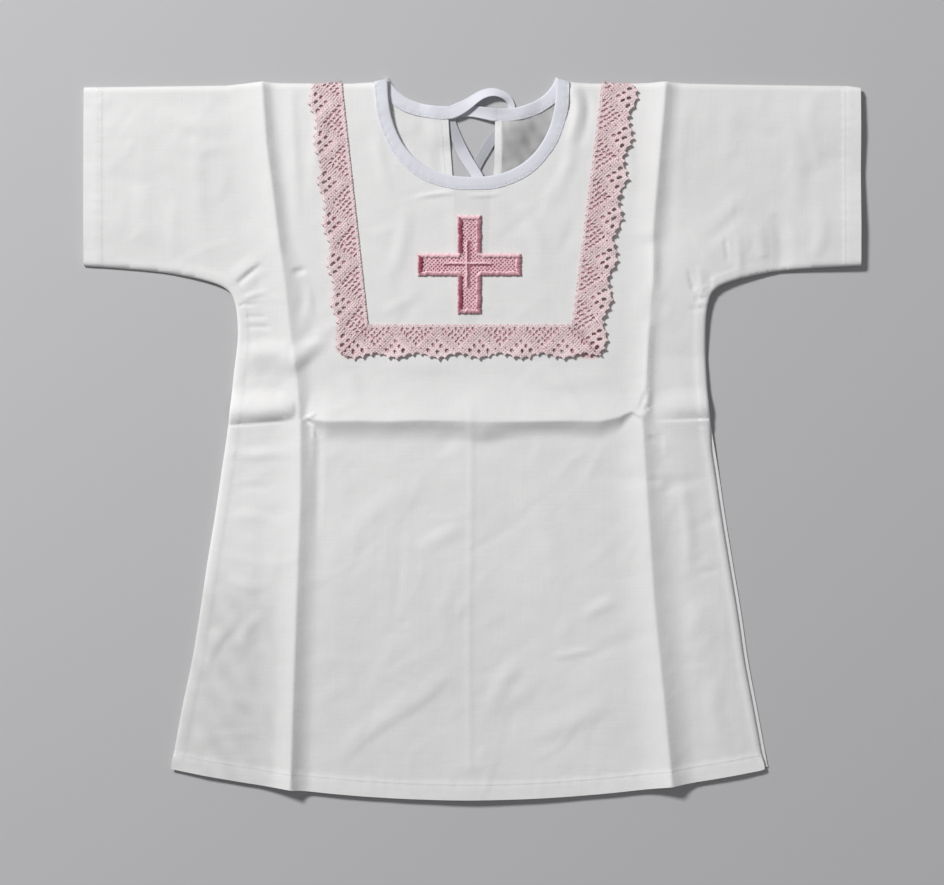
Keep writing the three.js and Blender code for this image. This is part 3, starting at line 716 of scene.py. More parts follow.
# The back inside the neck: it falls away on the right of the slit, and puckers a little
NECK_FOLDS = [
    ([(18.5, 197.0, 1.6), (20.0, 180.0, 1.9), (18.0, 164.0, 1.3)], 15, 4),
    ([(34.0, 196.0, 0.3), (30.0, 186.0, 0.7), (27.0, 176.0, 0.2)], 3, 4),
    ([(-38.0, 190.0, 0.3), (-28.0, 180.0, 0.5), (-24.0, 168.0, 0.2)], 4, 4),
]


def back_surfaces(x, y):
    low = back_low(x, y)
    d = to_seam(x, y)
    edge = 1 - np.sqrt(1 - (1 - np.clip(d / 2.5, 0, 1)) ** 2)
    on, groove = hems(x, y, BACK_HEM_UP)
    sx = np.where(x < 0, col(SLIT, y, 1) - x, x - col(SLIT, y, 2))
    slit_hem = (1 - smooth((sx - 4.8) / 0.6)) * (y > 30) * (sx > -1)
    slit_groove = np.exp(-(((sx - 4.2) / 0.4) ** 2)) * (y > 44)
    in_neck = smooth((y - 150) / 12) * smooth((56 - np.abs(x)) / 14)
    # the back's own creases press up into the gap, so that they show from below as hollows
    own = np.maximum(0, folds(x, y, BACK_FOLDS, 0.7) + folds(x, y, CRUMPLE_BACK, 1.0))
    own *= smooth(d / 14)
    bottom = low + 0.30 * edge + own
    top = (
        low
        + own
        + SHELL
        + 0.25 * on
        - 0.14 * groove
        + 0.22 * slit_hem
        - 0.16 * slit_groove
        + in_neck * folds(x, y, NECK_FOLDS, 0.6)
        + in_neck * 0.18 * (ripple(x, y, 11, 16) + 1)
    )
    return bottom, top


def front_surfaces(x, y):
    back_top = back_surfaces(x, y)[1]
    d = to_seam(x, y)
    rolled = np.where(x > 0, roll(y), 0)
    edge = 1 - np.sqrt(1 - (1 - np.clip((d - rolled) / 3.0, 0, 1)) ** 2)
    away = smooth(d / 16)
    fine = folds(x, y, FOLDS, 0.9) * (0.25 + 0.75 * smooth(d / 6))
    fine += folds(x, y, CRUMPLE, 1.0) * smooth(d / 9)
    fine += away * (0.30 * ripple(x, y, 3, 62) + 0.09 * ripple(x, y, 5, 23))
    on, groove = hems(x, y, 0)
    # a turned hem puckers a little along its stitching
    cuff = CUFF_X - np.abs(x) - CUFF_HEM
    hem = y - hem_y(x) - HEM
    puck = np.exp(-((cuff / 6) ** 2)) * np.sin(y * 0.72 + 2 * np.sin(y * 0.13))
    puck += np.exp(-((hem / 6) ** 2)) * np.sin(x * 0.66 + 2 * np.sin(x * 0.11))
    low = front_low(x, y) + 0.3 + fine - 1.6 * edge + 0.07 * puck
    low = np.maximum(low, back_top + 0.06)
    top = low + SHELL + 0.30 * on * smooth(d / 2) - 0.12 * groove
    # the seam allowance inside shows as a step along the side seams
    allowance = 1 - smooth((d - 6.2) / 0.8)
    below = smooth((112 - y) / 6)
    top += 0.2 * allowance * below
    return low, top


def front_top(x, y):
    return front_surfaces(np.asarray(x, float), np.asarray(y, float))[1]


# ---------------------------------------------------------------- meshes


def mesh_from(name, verts, tris, tone=None, sharp=50, smooth_all=True):
    mesh = bpy.data.meshes.new(name)
    n, m = len(verts), len(tris)
    mesh.vertices.add(n)
    mesh.vertices.foreach_set("co", (np.asarray(verts, np.float32) * 0.001).ravel())
    mesh.loops.add(3 * m)
    mesh.loops.foreach_set("vertex_index", np.asarray(tris, np.int32).ravel())
    mesh.polygons.add(m)
    mesh.polygons.foreach_set("loop_start", np.arange(0, 3 * m, 3, dtype=np.int32))
    mesh.update(calc_edges=True)
    mesh.validate()
    mesh.shade_smooth()
    if sharp:
        mesh.set_sharp_from_angle(angle=math.radians(sharp))
    if tone is not None:
        a = mesh.attributes.new("tone", "FLOAT", "POINT")
        a.data.foreach_set("value", np.asarray(tone, np.float32))
    obj = bpy.data.objects.new(name, mesh)
    bpy.context.scene.collection.objects.link(obj)
    return obj


def thicken(xy, top, bottom, tris):
    """A closed wall: the triangles at their top heights, again at their bottom ones, and the rim."""
    n = len(xy)
    e = np.concatenate([tris[:, [0, 1]], tris[:, [1, 2]], tris[:, [2, 0]]])
    key = np.sort(e, axis=1)
    key = key[:, 0].astype(np.int64) * n + key[:, 1]
    order = np.argsort(key, kind="stable")
    k = key[order]
    single = np.ones(len(k), bool)
    same = k[1:] == k[:-1]
    single[1:][same] = False
    single[:-1][same] = False
    rim = e[order[single]]
    verts = np.vstack(
        [np.column_stack([xy, top]), np.column_stack([xy, bottom])]
    )
    a, b = rim[:, 0], rim[:, 1]
    faces = np.vstack(
        [
            tris,
            tris[:, ::-1] + n,
            np.column_stack([b, a, a + n]),
            np.column_stack([b, a + n, b + n]),
        ]
    )
    return verts, faces


def inside(points, loop):
    x, y = points[:, 0], points[:, 1]
    loop = np.asarray(loop)
    a, b = loop, np.roll(loop, -1, axis=0)
    result = np.zeros(len(points), bool)
    for (ax, ay), (bx, by) in zip(a, b):
        if ay == by:
            continue
        m = (ay > y) != (by > y)
        result ^= m & (x < (bx - ax) * (y - ay) / (by - ay) + ax)
    return result


def planar(loops, lines, step, finer=()):
    """Triangles that fill loops[0] without loops[1:], with their edges along lines."""
    points, edges = [], []

    def put(line, closed):
        start = len(points)
        points.extend(map(tuple, line[:, :2]))
        n = len(line)
        edges.extend((start + i, start + i + 1) for i in range(n - 1))
        if closed:
            edges.append((start + n - 1, start))

    for loop in loops:
        put(np.asarray(loop), True)
    fixed = [np.asarray(l)[:, :2] for l in loops]
    for line in lines:
        keep = np.asarray(line)[:, :2]
        m = inside(keep, loops[0])
        for hole in loops[1:]:
            m &= ~inside(keep, hole)
        d = np.min(
            [
                to_line(keep[:, 0], keep[:, 1], np.vstack([l, l[:1]]))[0]
                for l in loops
            ],
            axis=0,
        )
        m &= d > 0.55
        run = []
        for ok, p in zip(m, keep):
            if ok:
                run.append(p)
            if (not ok or p is keep[-1]) and len(run) > 1:
                put(np.array(run), False)
                fixed.append(np.array(run))
            if not ok:
                run = []
        if len(run) > 1:
            put(np.array(run), False)
            fixed.append(np.array(run))
    def grid_in(x0, y0, x1, y1, pitch):
        gy = np.arange(y0, y1, pitch * 0.866)
        gx = np.arange(x0, x1, pitch)
        X, Y = np.meshgrid(gx, gy)
        X = X + (np.arange(len(gy)) % 2)[:, None] * pitch / 2
        return np.column_stack([X.ravel(), Y.ravel()])

    lo, hi = np.min(loops[0], axis=0), np.max(loops[0], axis=0)
    grid = grid_in(lo[0], lo[1], hi[0] + step, hi[1], step)
    size = np.full(len(grid), step)
    for x0, y0, x1, y1, pitch in finer:
        m = (
            (grid[:, 0] > x0 - pitch / 2)
            & (grid[:, 0] < x1 + pitch / 2)
            & (grid[:, 1] > y0 - pitch / 2)
            & (grid[:, 1] < y1 + pitch / 2)
        )
        more = grid_in(x0, y0, x1, y1, pitch)
        grid = np.vstack([grid[~m], more])
        size = np.concatenate([size[~m], np.full(len(more), pitch)])
    m = inside(grid, loops[0])
    for hole in loops[1:]:
        m &= ~inside(grid, hole)
    grid, size = grid[m], size[m]
    # keep clear of the fixed points
    every = np.vstack(fixed)
    taken = {}
    for p in every:
        taken.setdefault((int(p[0] // step), int(p[1] // step)), []).append(p)
    keep = []
    for p, pitch in zip(grid, size):
        i, j = int(p[0] // step), int(p[1] // step)
        clear = (0.62 * pitch) ** 2
        if not any(
            (p[0] - q[0]) ** 2 + (p[1] - q[1]) ** 2 < clear
            for di in (-1, 0, 1)
            for dj in (-1, 0, 1)
            for q in taken.get((i + di, j + dj), ())
        ):
            keep.append(tuple(p))
    points.extend(keep)
    v, _, f, _, _, _ = delaunay_2d_cdt(
        [Vector(p) for p in points], edges, [], 0, 1e-4, False
    )
    v = np.array([tuple(p) for p in v])
    f = np.array([t for t in f if len(t) == 3])
    mid = v[f].mean(axis=1)
    m = inside(mid, loops[0])
    for hole in loops[1:]:
        m &= ~inside(mid, hole)
    f = f[m]
    a, b, c = v[f[:, 0]], v[f[:, 1]], v[f[:, 2]]
    area = (b[:, 0] - a[:, 0]) * (c[:, 1] - a[:, 1]) - (b[:, 1] - a[:, 1]) * (
        c[:, 0] - a[:, 0]
    )
    f[area < 0] = f[area < 0][:, ::-1]
    f = f[np.abs(area) > 1e-7]
    used = np.unique(f)
    index = np.full(len(v), -1)
    index[used] = np.arange(len(used))
    return v[used], index[f]


def crease_lines():
    y = np.linspace(222, -222, 240)
    lines = []
    for rows in (LEFT_CREASE, RIGHT_CREASE):
        for d in (-1.1, 0, 1.1):
            lines.append(np.column_stack([col(rows, y, 1) + d, y]))
    for n, rows in enumerate(LEVEL_CREASES):
        x = np.arange(rows[0, 0] + 3, rows[-1, 0] - 3, 1.8)
        crest = np.interp(x, rows[:, 0], rows[:, 1])
        for d in (-1.0, 0) if n in (2, 4) else (-1.0, 0, 1.0):
            lines.append(np.column_stack([x, crest + d]))
        if n in (1, 3):
            # the foot of a crease that rolls over
            foot = crest - np.interp(x, rows[:, 0], rows[:, 4])
            for d in (0, 1.1):
                lines.append(np.column_stack([x, foot + d]))
    return lines


def hem_lines(up):
    """Beside the stitching of cuffs and hem."""
    lines = []
    for d in (-2.2, -1.6, -1.2, -0.8, -0.4, 0.4):
        y = np.arange(109.5, 217, 1.5)
        for sign in (-1, 1):
            lines.append(
                np.column_stack([np.full(len(y), sign * (CUFF_X - CUFF_HEM - d)), y])
            )
        x = np.arange(-181, 178, 1.5)
        lines.append(np.column_stack([x, hem_y(x, up) + HEM + d]))
    return lines


def allowance_lines():
    lines = []
    for seam, sign in ((LEFT_SEAM, 1), (RIGHT_SEAM, -1)):
        line = even(seam[seam[:, 1] < 100], 1.8)
        run = np.gradient(line, axis=0)
        run /= np.linalg.norm(run, axis=1)[:, None]
        out = np.column_stack([-run[:, 1], run[:, 0]]) * sign
        for d in (6.2, 7.0):
            lines.append(line + out * d)
        edge = roll(line[:, 1:]) * (sign < 0)
        for d in (0.9, 2.1):
            lines.append(line + out * (edge + d))
    return lines


def slit_lines():
    y = np.arange(196, 46, -1.5)
    return [
        np.column_stack([col(SLIT, y, k) + sign * d, y])
        for k, sign in ((1, -1), (2, 1))
        for d in (3.8, 4.2, 4.6, 5.0, 5.5)
    ]


FINER = [
    (-150, 58, -94, 122, 1.25),
    (124, 72, 200, 146, 1.5),
    (-114, 2, -90, 28, 1.1),
    (88, 2, 114, 30, 1.1),
    (-40, 145, 26, 158, 1.3),
]


def panel_loop(up, rolled, neck, step):
    right = RIGHT_SEAM.copy()
    if rolled:
        right[:, 0] -= roll(right[:, 1])
    hem_x = np.linspace(right[-1, 0], LEFT_SEAM[-1, 0], 220)
    hem = np.column_stack([hem_x, hem_y(hem_x, up)])
    hem[0, 1] = hem[-1, 1] = HEM_CORNER_Y + up
    shoulder_l = even([p for p in SHOULDER if p[0] < 0], step)
    shoulder_r = even([p for p in SHOULDER if p[0] > 0], step)
    shoulder_l = shoulder_l[shoulder_l[:, 0] < neck[-1, 0] - 0.5]
    shoulder_r = shoulder_r[shoulder_r[:, 0] > neck[0, 0] + 0.5]
    cuff_r = even([SHOULDER[-1], (CUFF_X, SIDE[0, 0])], step)[1:-1]
    cuff_l = even([(-CUFF_X, SIDE[0, 0]), SHOULDER[0]], step)[1:-1]
    right = right[(right[:, 1] > hem[0, 1] + 0.2)]
    left = LEFT_SEAM[LEFT_SEAM[:, 1] > hem[-1, 1] + 0.2]
    return np.vstack(
        [
            neck[::-1],
            shoulder_r,
            cuff_r,
            even(right, step),
            even(hem, step),
            even(left[::-1], step),
            cuff_l,
            shoulder_l,
        ]
    )[:, :2]


def closed_loop(parts):
    """Drops points that lie on each other."""
    loop = np.asarray(parts)
    d = np.linalg.norm(loop - np.roll(loop, 1, axis=0), axis=1)
    return loop[d > 0.15]


# ---------------------------------------------------------------- sweeps


def sweep(name, centre, side, up, profile, tone=None, closed_ends=True):
    """Sweeps a closed profile of (across, over) along a line, with its side and up directions at each point."""
    n, k = len(centre), len(profile[0]) if np.ndim(profile) == 3 else len(profile)
    prof = np.asarray(profile, float)
    if prof.ndim == 2:
        prof = np.repeat(prof[None], n, axis=0)
    verts = (
        centre[:, None, :]
        + side[:, None, :] * prof[:, :, :1]
        + up[:, None, :] * prof[:, :, 1:2]
    ).reshape(-1, 3)
    i = np.arange(n - 1)[:, None] * k
    j = np.arange(k)[None]
    a, b = i + j, i + (j + 1) % k
    quads = np.stack([a, b, b + k, a + k], -1).reshape(-1, 4)
    tris = [quads[:, [0, 1, 2]], quads[:, [0, 2, 3]]]
    if closed_ends:
        fan = np.array([(0, t + 1, t) for t in range(1, k - 1)])
        tris += [fan, fan[:, ::-1] + (n - 1) * k]
    tris = np.vstack(tris)
    p = verts[tris]
    vol = np.einsum("ij,ij->i", p[:, 0], np.cross(p[:, 1], p[:, 2])).sum()
    if vol < 0:
        tris = tris[:, ::-1]
    return mesh_from(name, verts, tris, tone, sharp=60)


def flat_frames(line):
    """Side (left of the run) and up for a line of x, y, z points."""
    run = np.gradient(line, axis=0)
    run /= np.linalg.norm(run, axis=1)[:, None]
    side = np.cross([0, 0, 1], run)
    side /= np.linalg.norm(side, axis=1)[:, None]
    return side, np.cross(run, side)


STITCHES = {}


def stitch_line(group, line, z, length=2.1, gap=0.75, wide=0.36, rise=0.1, jitter=0.06):
    """Lays stitches along a line of x, y on the surface z(x, y)."""
    line = even(line, 0.35)
    s = np.concatenate(
        [[0], np.cumsum(np.linalg.norm(np.diff(line[:, :2], axis=0), axis=1))]
    )
    r = np.random.default_rng(len(STITCHES.get(group, ())) + 5)
    at = 0.4
    rows = []
    while at + length < s[-1]:
        t = np.linspace(at, at + length, 5)
        x, y = np.interp(t, s, line[:, 0]), np.interp(t, s, line[:, 1])
        off = r.normal(0, jitter)
        dx, dy = x[-1] - x[0], y[-1] - y[0]
        l = math.hypot(dx, dy) or 1
        rows.append((x - dy / l * off, y + dx / l * off))
        at += length + gap + r.normal(0, 0.05)
    rows = np.array(rows)
    height = z(rows[:, 0], rows[:, 1])
    for (x, y), h in zip(rows, height):
        STITCHES.setdefault(group, []).append((np.column_stack([x, y, h]), wide, rise))


def make_stitches(group, name):
    rows = STITCHES.get(group, [])
    verts, tris = [], []
    base = 0
    ring = [(math.cos(a), math.sin(a)) for a in np.arange(6) * math.pi / 3]
    for points, wide, rise in rows:
        side, up = flat_frames(points)
        size = np.array([0.35, 0.9, 1.0, 0.9, 0.35]) * wide / 2
        arc = np.array([-0.1, 0.03, 0.08, 0.03, -0.1]) + rise
        for p, s, u, w, h in zip(points, side, up, size, arc):
            for c, q in ring:
                verts.append(p + s * c * w + u * (q * w * 0.8 + h))
        for i in range(4):
            for j in range(6):
                a, b = base + i * 6 + j, base + i * 6 + (j + 1) % 6
                tris += [(a, b + 6, b), (a, a + 6, b + 6)]
        for j in range(1, 5):
            tris.append((base, base + j, base + j + 1))
            tris.append((base + 24, base + 24 + j + 1, base + 24 + j))
        base += 30
    tris = np.array(tris)
    verts = np.array(verts)
    p = verts[tris]
    if np.einsum("ij,ij->i", p[:, 0], np.cross(p[:, 1], p[:, 2])).sum() < 0:
        tris = tris[:, ::-1]
    return mesh_from(name, verts, tris, sharp=0)


# ---------------------------------------------------------------- contours


def contour(field, xs, ys):
    """Triangles of the region where field is above 0, on a grid, with its edge cut true."""
    ny, nx = field.shape
    n = nx * ny
    corner = np.arange(n).reshape(ny, nx)
    across = n + np.arange(ny * (nx - 1)).reshape(ny, nx - 1)
    upward = n + ny * (nx - 1) + np.arange((ny - 1) * nx).reshape(ny - 1, nx)
    X, Y = np.meshgrid(xs, ys)
    f = field

    def cut(fa, fb):
        t = np.where(np.abs(fa - fb) < 1e-9, 0.5, fa / np.where(fa == fb, 1, fa - fb))
        return np.clip(t, 0.06, 0.94)

    t = cut(f[:, :-1], f[:, 1:])
    ax = X[:, :-1] + t * (X[:, 1:] - X[:, :-1])
    ay = Y[:, :-1]
    t = cut(f[:-1], f[1:])
    bx = X[:-1]
    by = Y[:-1] + t * (Y[1:] - Y[:-1])
    pts = np.vstack(
        [
            np.column_stack([X.ravel(), Y.ravel()]),
            np.column_stack([ax.ravel(), ay.ravel()]),
            np.column_stack([bx.ravel(), by.ravel()]),
        ]
    )
    b = f > 0
    code = (
        b[:-1, :-1] * 1 + b[:-1, 1:] * 2 + b[1:, 1:] * 4 + b[1:, :-1] * 8
    )
    ids = {
        "a": corner[:-1, :-1],
        "b": corner[:-1, 1:],
        "c": corner[1:, 1:],
        "d": corner[1:, :-1],
        "0": across[:-1],
        "1": upward[:, 1:],
        "2": across[1:],
        "3": upward[:, :-1],
    }
    cases = {
        1: ["a03"],
        2: ["0b1"],
        3: ["ab13"],
        4: ["1c2"],
        5: ["a03", "1c2"],
        6: ["0bc2"],
        7: ["abc23"],
        8: ["32d"],
        9: ["a02d"],
        10: ["0b1", "32d"],
        11: ["ab12d"],
        12: ["31cd"],
        13: ["a01cd"],
        14: ["0bcd3"],
        15: ["abcd"],
    }
    tris = []
    for k, polys in cases.items():
        m = code == k
        if not m.any():
            continue
        for poly in polys:
            c = [ids[q][m] for q in poly]
            for i in range(1, len(c) - 1):
                tris.append(np.column_stack([c[0], c[i], c[i + 1]]))
    tris = np.vstack(tris)
    used = np.unique(tris)
    index = np.full(len(pts), -1)
    index[used] = np.arange(len(used))
    return pts[used], index[tris]


# ---------------------------------------------------------------- materials


def lin(r, g, b):
    def f(c):
        c /= 255
        return c / 12.92 if c <= 0.04045 else ((c + 0.055) / 1.055) ** 2.4

    return (f(r), f(g), f(b), 1)


class Nodes:
    def __init__(self, name):
        self.mat = bpy.data.materials.new(name)
        self.mat.use_nodes = True
        self.t = self.mat.node_tree
        self.t.nodes.clear()
        self.out = self.t.nodes.new("ShaderNodeOutputMaterial")
        self.bsdf = self.t.nodes.new("ShaderNodeBsdfPrincipled")
        self.link(self.bsdf.outputs[0], self.out.inputs[0])
        coord = self.t.nodes.new("ShaderNodeTexCoord")
        self.mm = self.vmath("SCALE", coord.outputs["Object"], scale=1000)

    def link(self, a, b):
        self.t.links.new(a, b)

    def put(self, socket, value):
        if isinstance(value, (int, float)):
            socket.default_value = value
        elif isinstance(value, tuple):
            socket.default_value = value
        else:
            self.link(value, socket)

    def vmath(self, op, a, b=None, scale=None):
        n = self.t.nodes.new("ShaderNodeVectorMath")
        n.operation = op
        self.put(n.inputs[0], a)
        if b is not None:
            self.put(n.inputs[1], b)
        if scale is not None:
            n.inputs["Scale"].default_value = scale
        return n.outputs[0]

    def math(self, op, a, b=0.0, c=None, clamp=False):
        n = self.t.nodes.new("ShaderNodeMath")
        n.operation = op
        n.use_clamp = clamp
        self.put(n.inputs[0], a)
        self.put(n.inputs[1], b)
        if c is not None:
            self.put(n.inputs[2], c)
        return n.outputs[0]

    def noise(self, stretch, scale=1.0, detail=2.0, rough=0.5, offset=(0, 0, 0)):
        v = self.vmath("MULTIPLY", self.mm, stretch)
        v = self.vmath("ADD", v, offset)
        n = self.t.nodes.new("ShaderNodeTexNoise")
        n.inputs["Scale"].default_value = scale
        n.inputs["Detail"].default_value = detail
        n.inputs["Roughness"].default_value = rough
        self.link(v, n.inputs["Vector"])
        return n.outputs["Fac"]

    def wave(self, direction, period, phase=0.0):
        """A sine from 0 to 1 along a direction, with its period in mm."""
        d = self.t.nodes.new("ShaderNodeVectorMath")
        d.operation = "DOT_PRODUCT"
        self.link(self.mm, d.inputs[0])
        d.inputs[1].default_value = direction
        a = self.math("MULTIPLY_ADD", d.outputs["Value"], 2 * math.pi / period, phase)
        return self.math("MULTIPLY_ADD", self.math("SINE", a), 0.5, 0.5)

    def mix(self, f, a, b):
        n = self.t.nodes.new("ShaderNodeMix")
        n.data_type = "RGBA"
        self.put(n.inputs[0], f)
        self.put(n.inputs[6], a)
        self.put(n.inputs[7], b)
        return n.outputs[2]

    def tone(self, name="tone"):
        n = self.t.nodes.new("ShaderNodeAttribute")
        n.attribute_type = "GEOMETRY"
        n.attribute_name = name
        return n.outputs["Fac"]

    def times(self, colour, value):
        n = self.t.nodes.new("ShaderNodeVectorMath")
        n.operation = "SCALE"
        self.put(n.inputs[0], colour[:3] if isinstance(colour, tuple) else colour)
        self.link(value, n.inputs["Scale"])
        return n.outputs[0]

    def bump(self, height, distance_mm, strength=1.0, normal=None):
        n = self.t.nodes.new("ShaderNodeBump")
        n.inputs["Strength"].default_value = strength
        n.inputs["Distance"].default_value = distance_mm * 0.001
        self.link(height, n.inputs["Height"])
        if normal is not None:
            self.link(normal, n.inputs["Normal"])
        return n.outputs[0]

    def done(self, colour, rough, normal=None, **values):
        self.put(self.bsdf.inputs["Base Color"], colour)
        self.put(self.bsdf.inputs["Roughness"], rough)
        if normal is not None:
            self.link(normal, self.bsdf.inputs["Normal"])
        for k, v in values.items():
            self.bsdf.inputs[k.replace("_", " ")].default_value = v
        return self.mat


def cotton(name, colour, toned, lace_shade_tint=None):
    m = Nodes(name)
    weft = m.noise((0.035, 2.2, 0.2), 1.0, 3.0, 0.6)
    warp = m.noise((2.4, 0.03, 0.2), 1.0, 3.0, 0.6, (7, 3, 1))
    soft = m.noise((0.02, 0.02, 0.02), 1.0, 2.0, 0.5, (2, 9, 4))
    cloudy = m.noise((0.12, 0.12, 0.12), 1.0, 3.0, 0.6, (5, 1, 8))
    weave = m.math("MULTIPLY", m.wave((1, 0, 0), 0.62), m.wave((0, 1, 0), 0.58))
    threads = m.math("ADD", weft, warp)
    shade = m.math("MULTIPLY_ADD", threads, 0.075, 0.9)
    shade = m.math("ADD", shade, m.math("MULTIPLY_ADD", soft, 0.03, -0.015))
    shade = m.math("ADD", shade, m.math("MULTIPLY_ADD", cloudy, 0.03, -0.015))
    # the tone attribute paints light and shade onto the cloth
    if toned:
        shade = m.math("MULTIPLY", shade, m.tone())
    height = m.math("MULTIPLY_ADD", weave, 0.45, threads)
    normal = m.bump(height, 0.11, 0.55)
    normal = m.bump(cloudy, 0.5, 0.30, normal)
    rough = m.math("MULTIPLY_ADD", cloudy, 0.12, 0.82)
    # painted shade under the lace: where under_lace is 1 the colour is mixed to a dark pink, for the lace's shadow
    # and the pink light it throws
    if lace_shade_tint:
        colour = m.mix(m.tone("under_lace"), colour, lace_shade_tint)
    return m.done(
        m.times(colour, shade),
        rough,
        normal,
        Sheen_Weight=0.12,
        Sheen_Roughness=0.5,
        Specular_IOR_Level=0.25,
    )


def tape(name, colour, toned):
    m = Nodes(name)
    across = m.wave((0.7071, 0.7071, 0), 0.55)
    along = m.wave((-0.7071, 0.7071, 0), 0.5)
    weave = m.math("MULTIPLY", across, along)
    fine = m.noise((1, 1, 1), 1.1, 3.0, 0.6)
    soft = m.noise((0.12, 0.12, 0.12), 1.0, 2.0, 0.5, (4, 4, 4))
    shade = m.math("MULTIPLY_ADD", fine, 0.05, 0.955)
    shade = m.math("ADD", shade, m.math("MULTIPLY_ADD", soft, 0.04, -0.02))
    # the tone attribute paints shade onto the ties and bindings
    if toned:
        shade = m.math("MULTIPLY", shade, m.tone())
    normal = m.bump(m.math("ADD", weave, fine), 0.05, 0.5)
    return m.done(
        m.times(colour, shade),
        m.math("MULTIPLY_ADD", fine, 0.15, 0.55),
        normal,
        Sheen_Weight=0.1,
        Sheen_Roughness=0.4,
        Specular_IOR_Level=0.35,
    )


def thread(name, dark, light, rough, specular, sheen, hatch=0.0):
    # dark and light are the thread's colour in painted shade and with painted highlight; the tone, the fine noise
    # and the hatch mix between them
    m = Nodes(name)
    fine = m.noise((1, 1, 1), 0.95 if hatch else 2.4, 3.0, 0.7)
    soft = m.noise((0.08, 0.08, 0.08), 1.0, 2.0, 0.5, (1, 5, 2))
    much = 0.85 if hatch else 0.5
    f = m.math("ADD", m.tone(), m.math("MULTIPLY_ADD", fine, much, -0.5 * much))
    f = m.math("ADD", f, m.math("MULTIPLY_ADD", soft, 0.2, -0.1), clamp=True)
    height = fine
    if hatch:
        one = m.wave((0.7071, 0.7071, 0), 1.55)
        two = m.wave((0.7071, -0.7071, 0), 1.55)
        cross = m.math("MULTIPLY", one, two)
        f = m.math(
            "ADD", f, m.math("MULTIPLY_ADD", cross, 2 * hatch, -0.5 * hatch), clamp=True
        )
        height = m.math("ADD", fine, m.math("MULTIPLY", cross, 1.6))
    return m.done(
        m.mix(f, dark, light),
        rough,
        m.bump(height, 0.10 if not hatch else 0.16, 0.5 if not hatch else 0.8),
        Sheen_Weight=sheen,
        Specular_IOR_Level=specular,
    )


# lin(228, 180, 188) is the dark pink of the painted shade under the lace
WHITE = cotton("shirt_cotton", lin(242, 241, 241), True, lin(228, 180, 188))
WHITE_BACK = cotton("shirt_cotton_back", lin(240, 239, 239), True)
TAPE = tape("neck_tape", lin(230, 231, 240), True)
THREAD = tape("sewing_thread", lin(235, 236, 240), False)
# for the lace and the satin the darker colour is painted shade, the lighter one painted highlight
LACE = thread("lace_thread", lin(166, 120, 129), lin(253, 233, 235), 0.85, 0.25, 0.2, 0.19)
SATIN = thread("satin_thread", lin(146, 58, 84), lin(255, 214, 222), 0.45, 0.45, 0.12)

# ---------------------------------------------------------------- camera first

camera = bpy.data.cameras.new("camera")
camera.lens = 85
camera.sensor_width = 36
camera.clip_end = 20
cam = bpy.data.objects.new("camera", camera)
bpy.context.scene.collection.objects.link(cam)
wide = 944 * 0.62 * 0.001
cam.location = (0, -0.00155, wide * camera.lens / 36 + 0.003)
cam.rotation_euler = (0, 0, 0)
bpy.context.scene.camera = cam

# ---------------------------------------------------------------- ties

TIE_PROFILE = np.array(
    [
        (-0.5, -0.10),
        (-0.46, -0.42),
        (-0.2, -0.5),
        (0.2, -0.5),
        (0.46, -0.42),
        (0.5, -0.10),
        (0.5, 0.2),
        (0.46, 0.44),
        (0.40, 0.46),
        (0.33, 0.36),
        (0.26, 0.46),
        (0, 0.5),
        (-0.26, 0.46),
        (-0.40, 0.48),
        (-0.46, 0.44),
        (-0.5, 0.2),
    ]
)


def tie(name, rows, shade):
    line = even(spline(rows, 320), 0.8)
    # its first millimetre overlaps the end of the binding
    first = line[0].copy()
    first[:2] += (line[0, :2] - line[1, :2]) * (1.2 / math.dist(line[0, :2], line[1, :2]))
    line = np.vstack([first, line])
    centre = line[:, :3].copy()
    # where it leaves the binding, the tape lies at the binding's own height
    s_ = np.concatenate([[0], np.cumsum(np.linalg.norm(np.diff(centre[:, :2], axis=0), axis=1))])
    low, top = back_surfaces(centre[:1, 0], centre[:1, 1])
    start = float((low + top)[0] / 2 + 0.33)
    centre[:, 2] += (start - centre[0, 2]) * (1 - smooth(s_ / 9))
    side, up = flat_frames(centre)
    # smooth the frames a little
    for _ in range(3):
        side[1:-1] = (side[:-2] + 2 * side[1:-1] + side[2:]) / 4
    side /= np.linalg.norm(side, axis=1)[:, None]
    run = np.gradient(centre, axis=0)
    run /= np.linalg.norm(run, axis=1)[:, None]
    up = np.cross(run, side)
    lean = np.radians(line[:, 4])[:, None]
    s = side * np.cos(lean) + up * np.sin(lean)
    u = np.cross(run, s)
    prof = np.repeat(TIE_PROFILE[None], len(line), axis=0)
    wave = 1 + 0.03 * np.sin(np.arange(len(line)) * 0.21)
    s_ = np.concatenate(
        [[0], np.cumsum(np.linalg.norm(np.diff(centre, axis=0), axis=1))]
    )
    thick = 0.92 + 0.42 * (1 - smooth(s_ / 9))
    prof = prof * np.stack([line[:, 3] * wave, thick], 1)[:, None, :]
    obj = sweep(name, centre, s, u, prof)
    obj.data.materials.append(TAPE)
    tone = shade(s_[:, None], TIE_PROFILE[None, :, 0]).ravel()
    a = obj.data.attributes.new("tone", "FLOAT", "POINT")
    a.data.foreach_set("value", tone.astype(np.float32))
    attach(obj, "root")
    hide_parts(name)
    return obj


# In the slit the ties lie in shade, and so does the right one's upper half under the loop of the left
tie("tie_left", LEFT_TIE, lambda s, a: 1 - 0.38 * smooth((s - 52) / 6) + 0 * a)
tie(
    "tie_right",
    RIGHT_TIE,
    lambda s, a: 1
    - 0.34 * smooth((s - 26) / 6) * (1 - smooth((s - 46) / 18))
    - 0.17 * (1 - smooth((s - 20) / 4)) * smooth((0.16 - a) / 0.3),
)

# ---------------------------------------------------------------- panels

STEP = 2.3


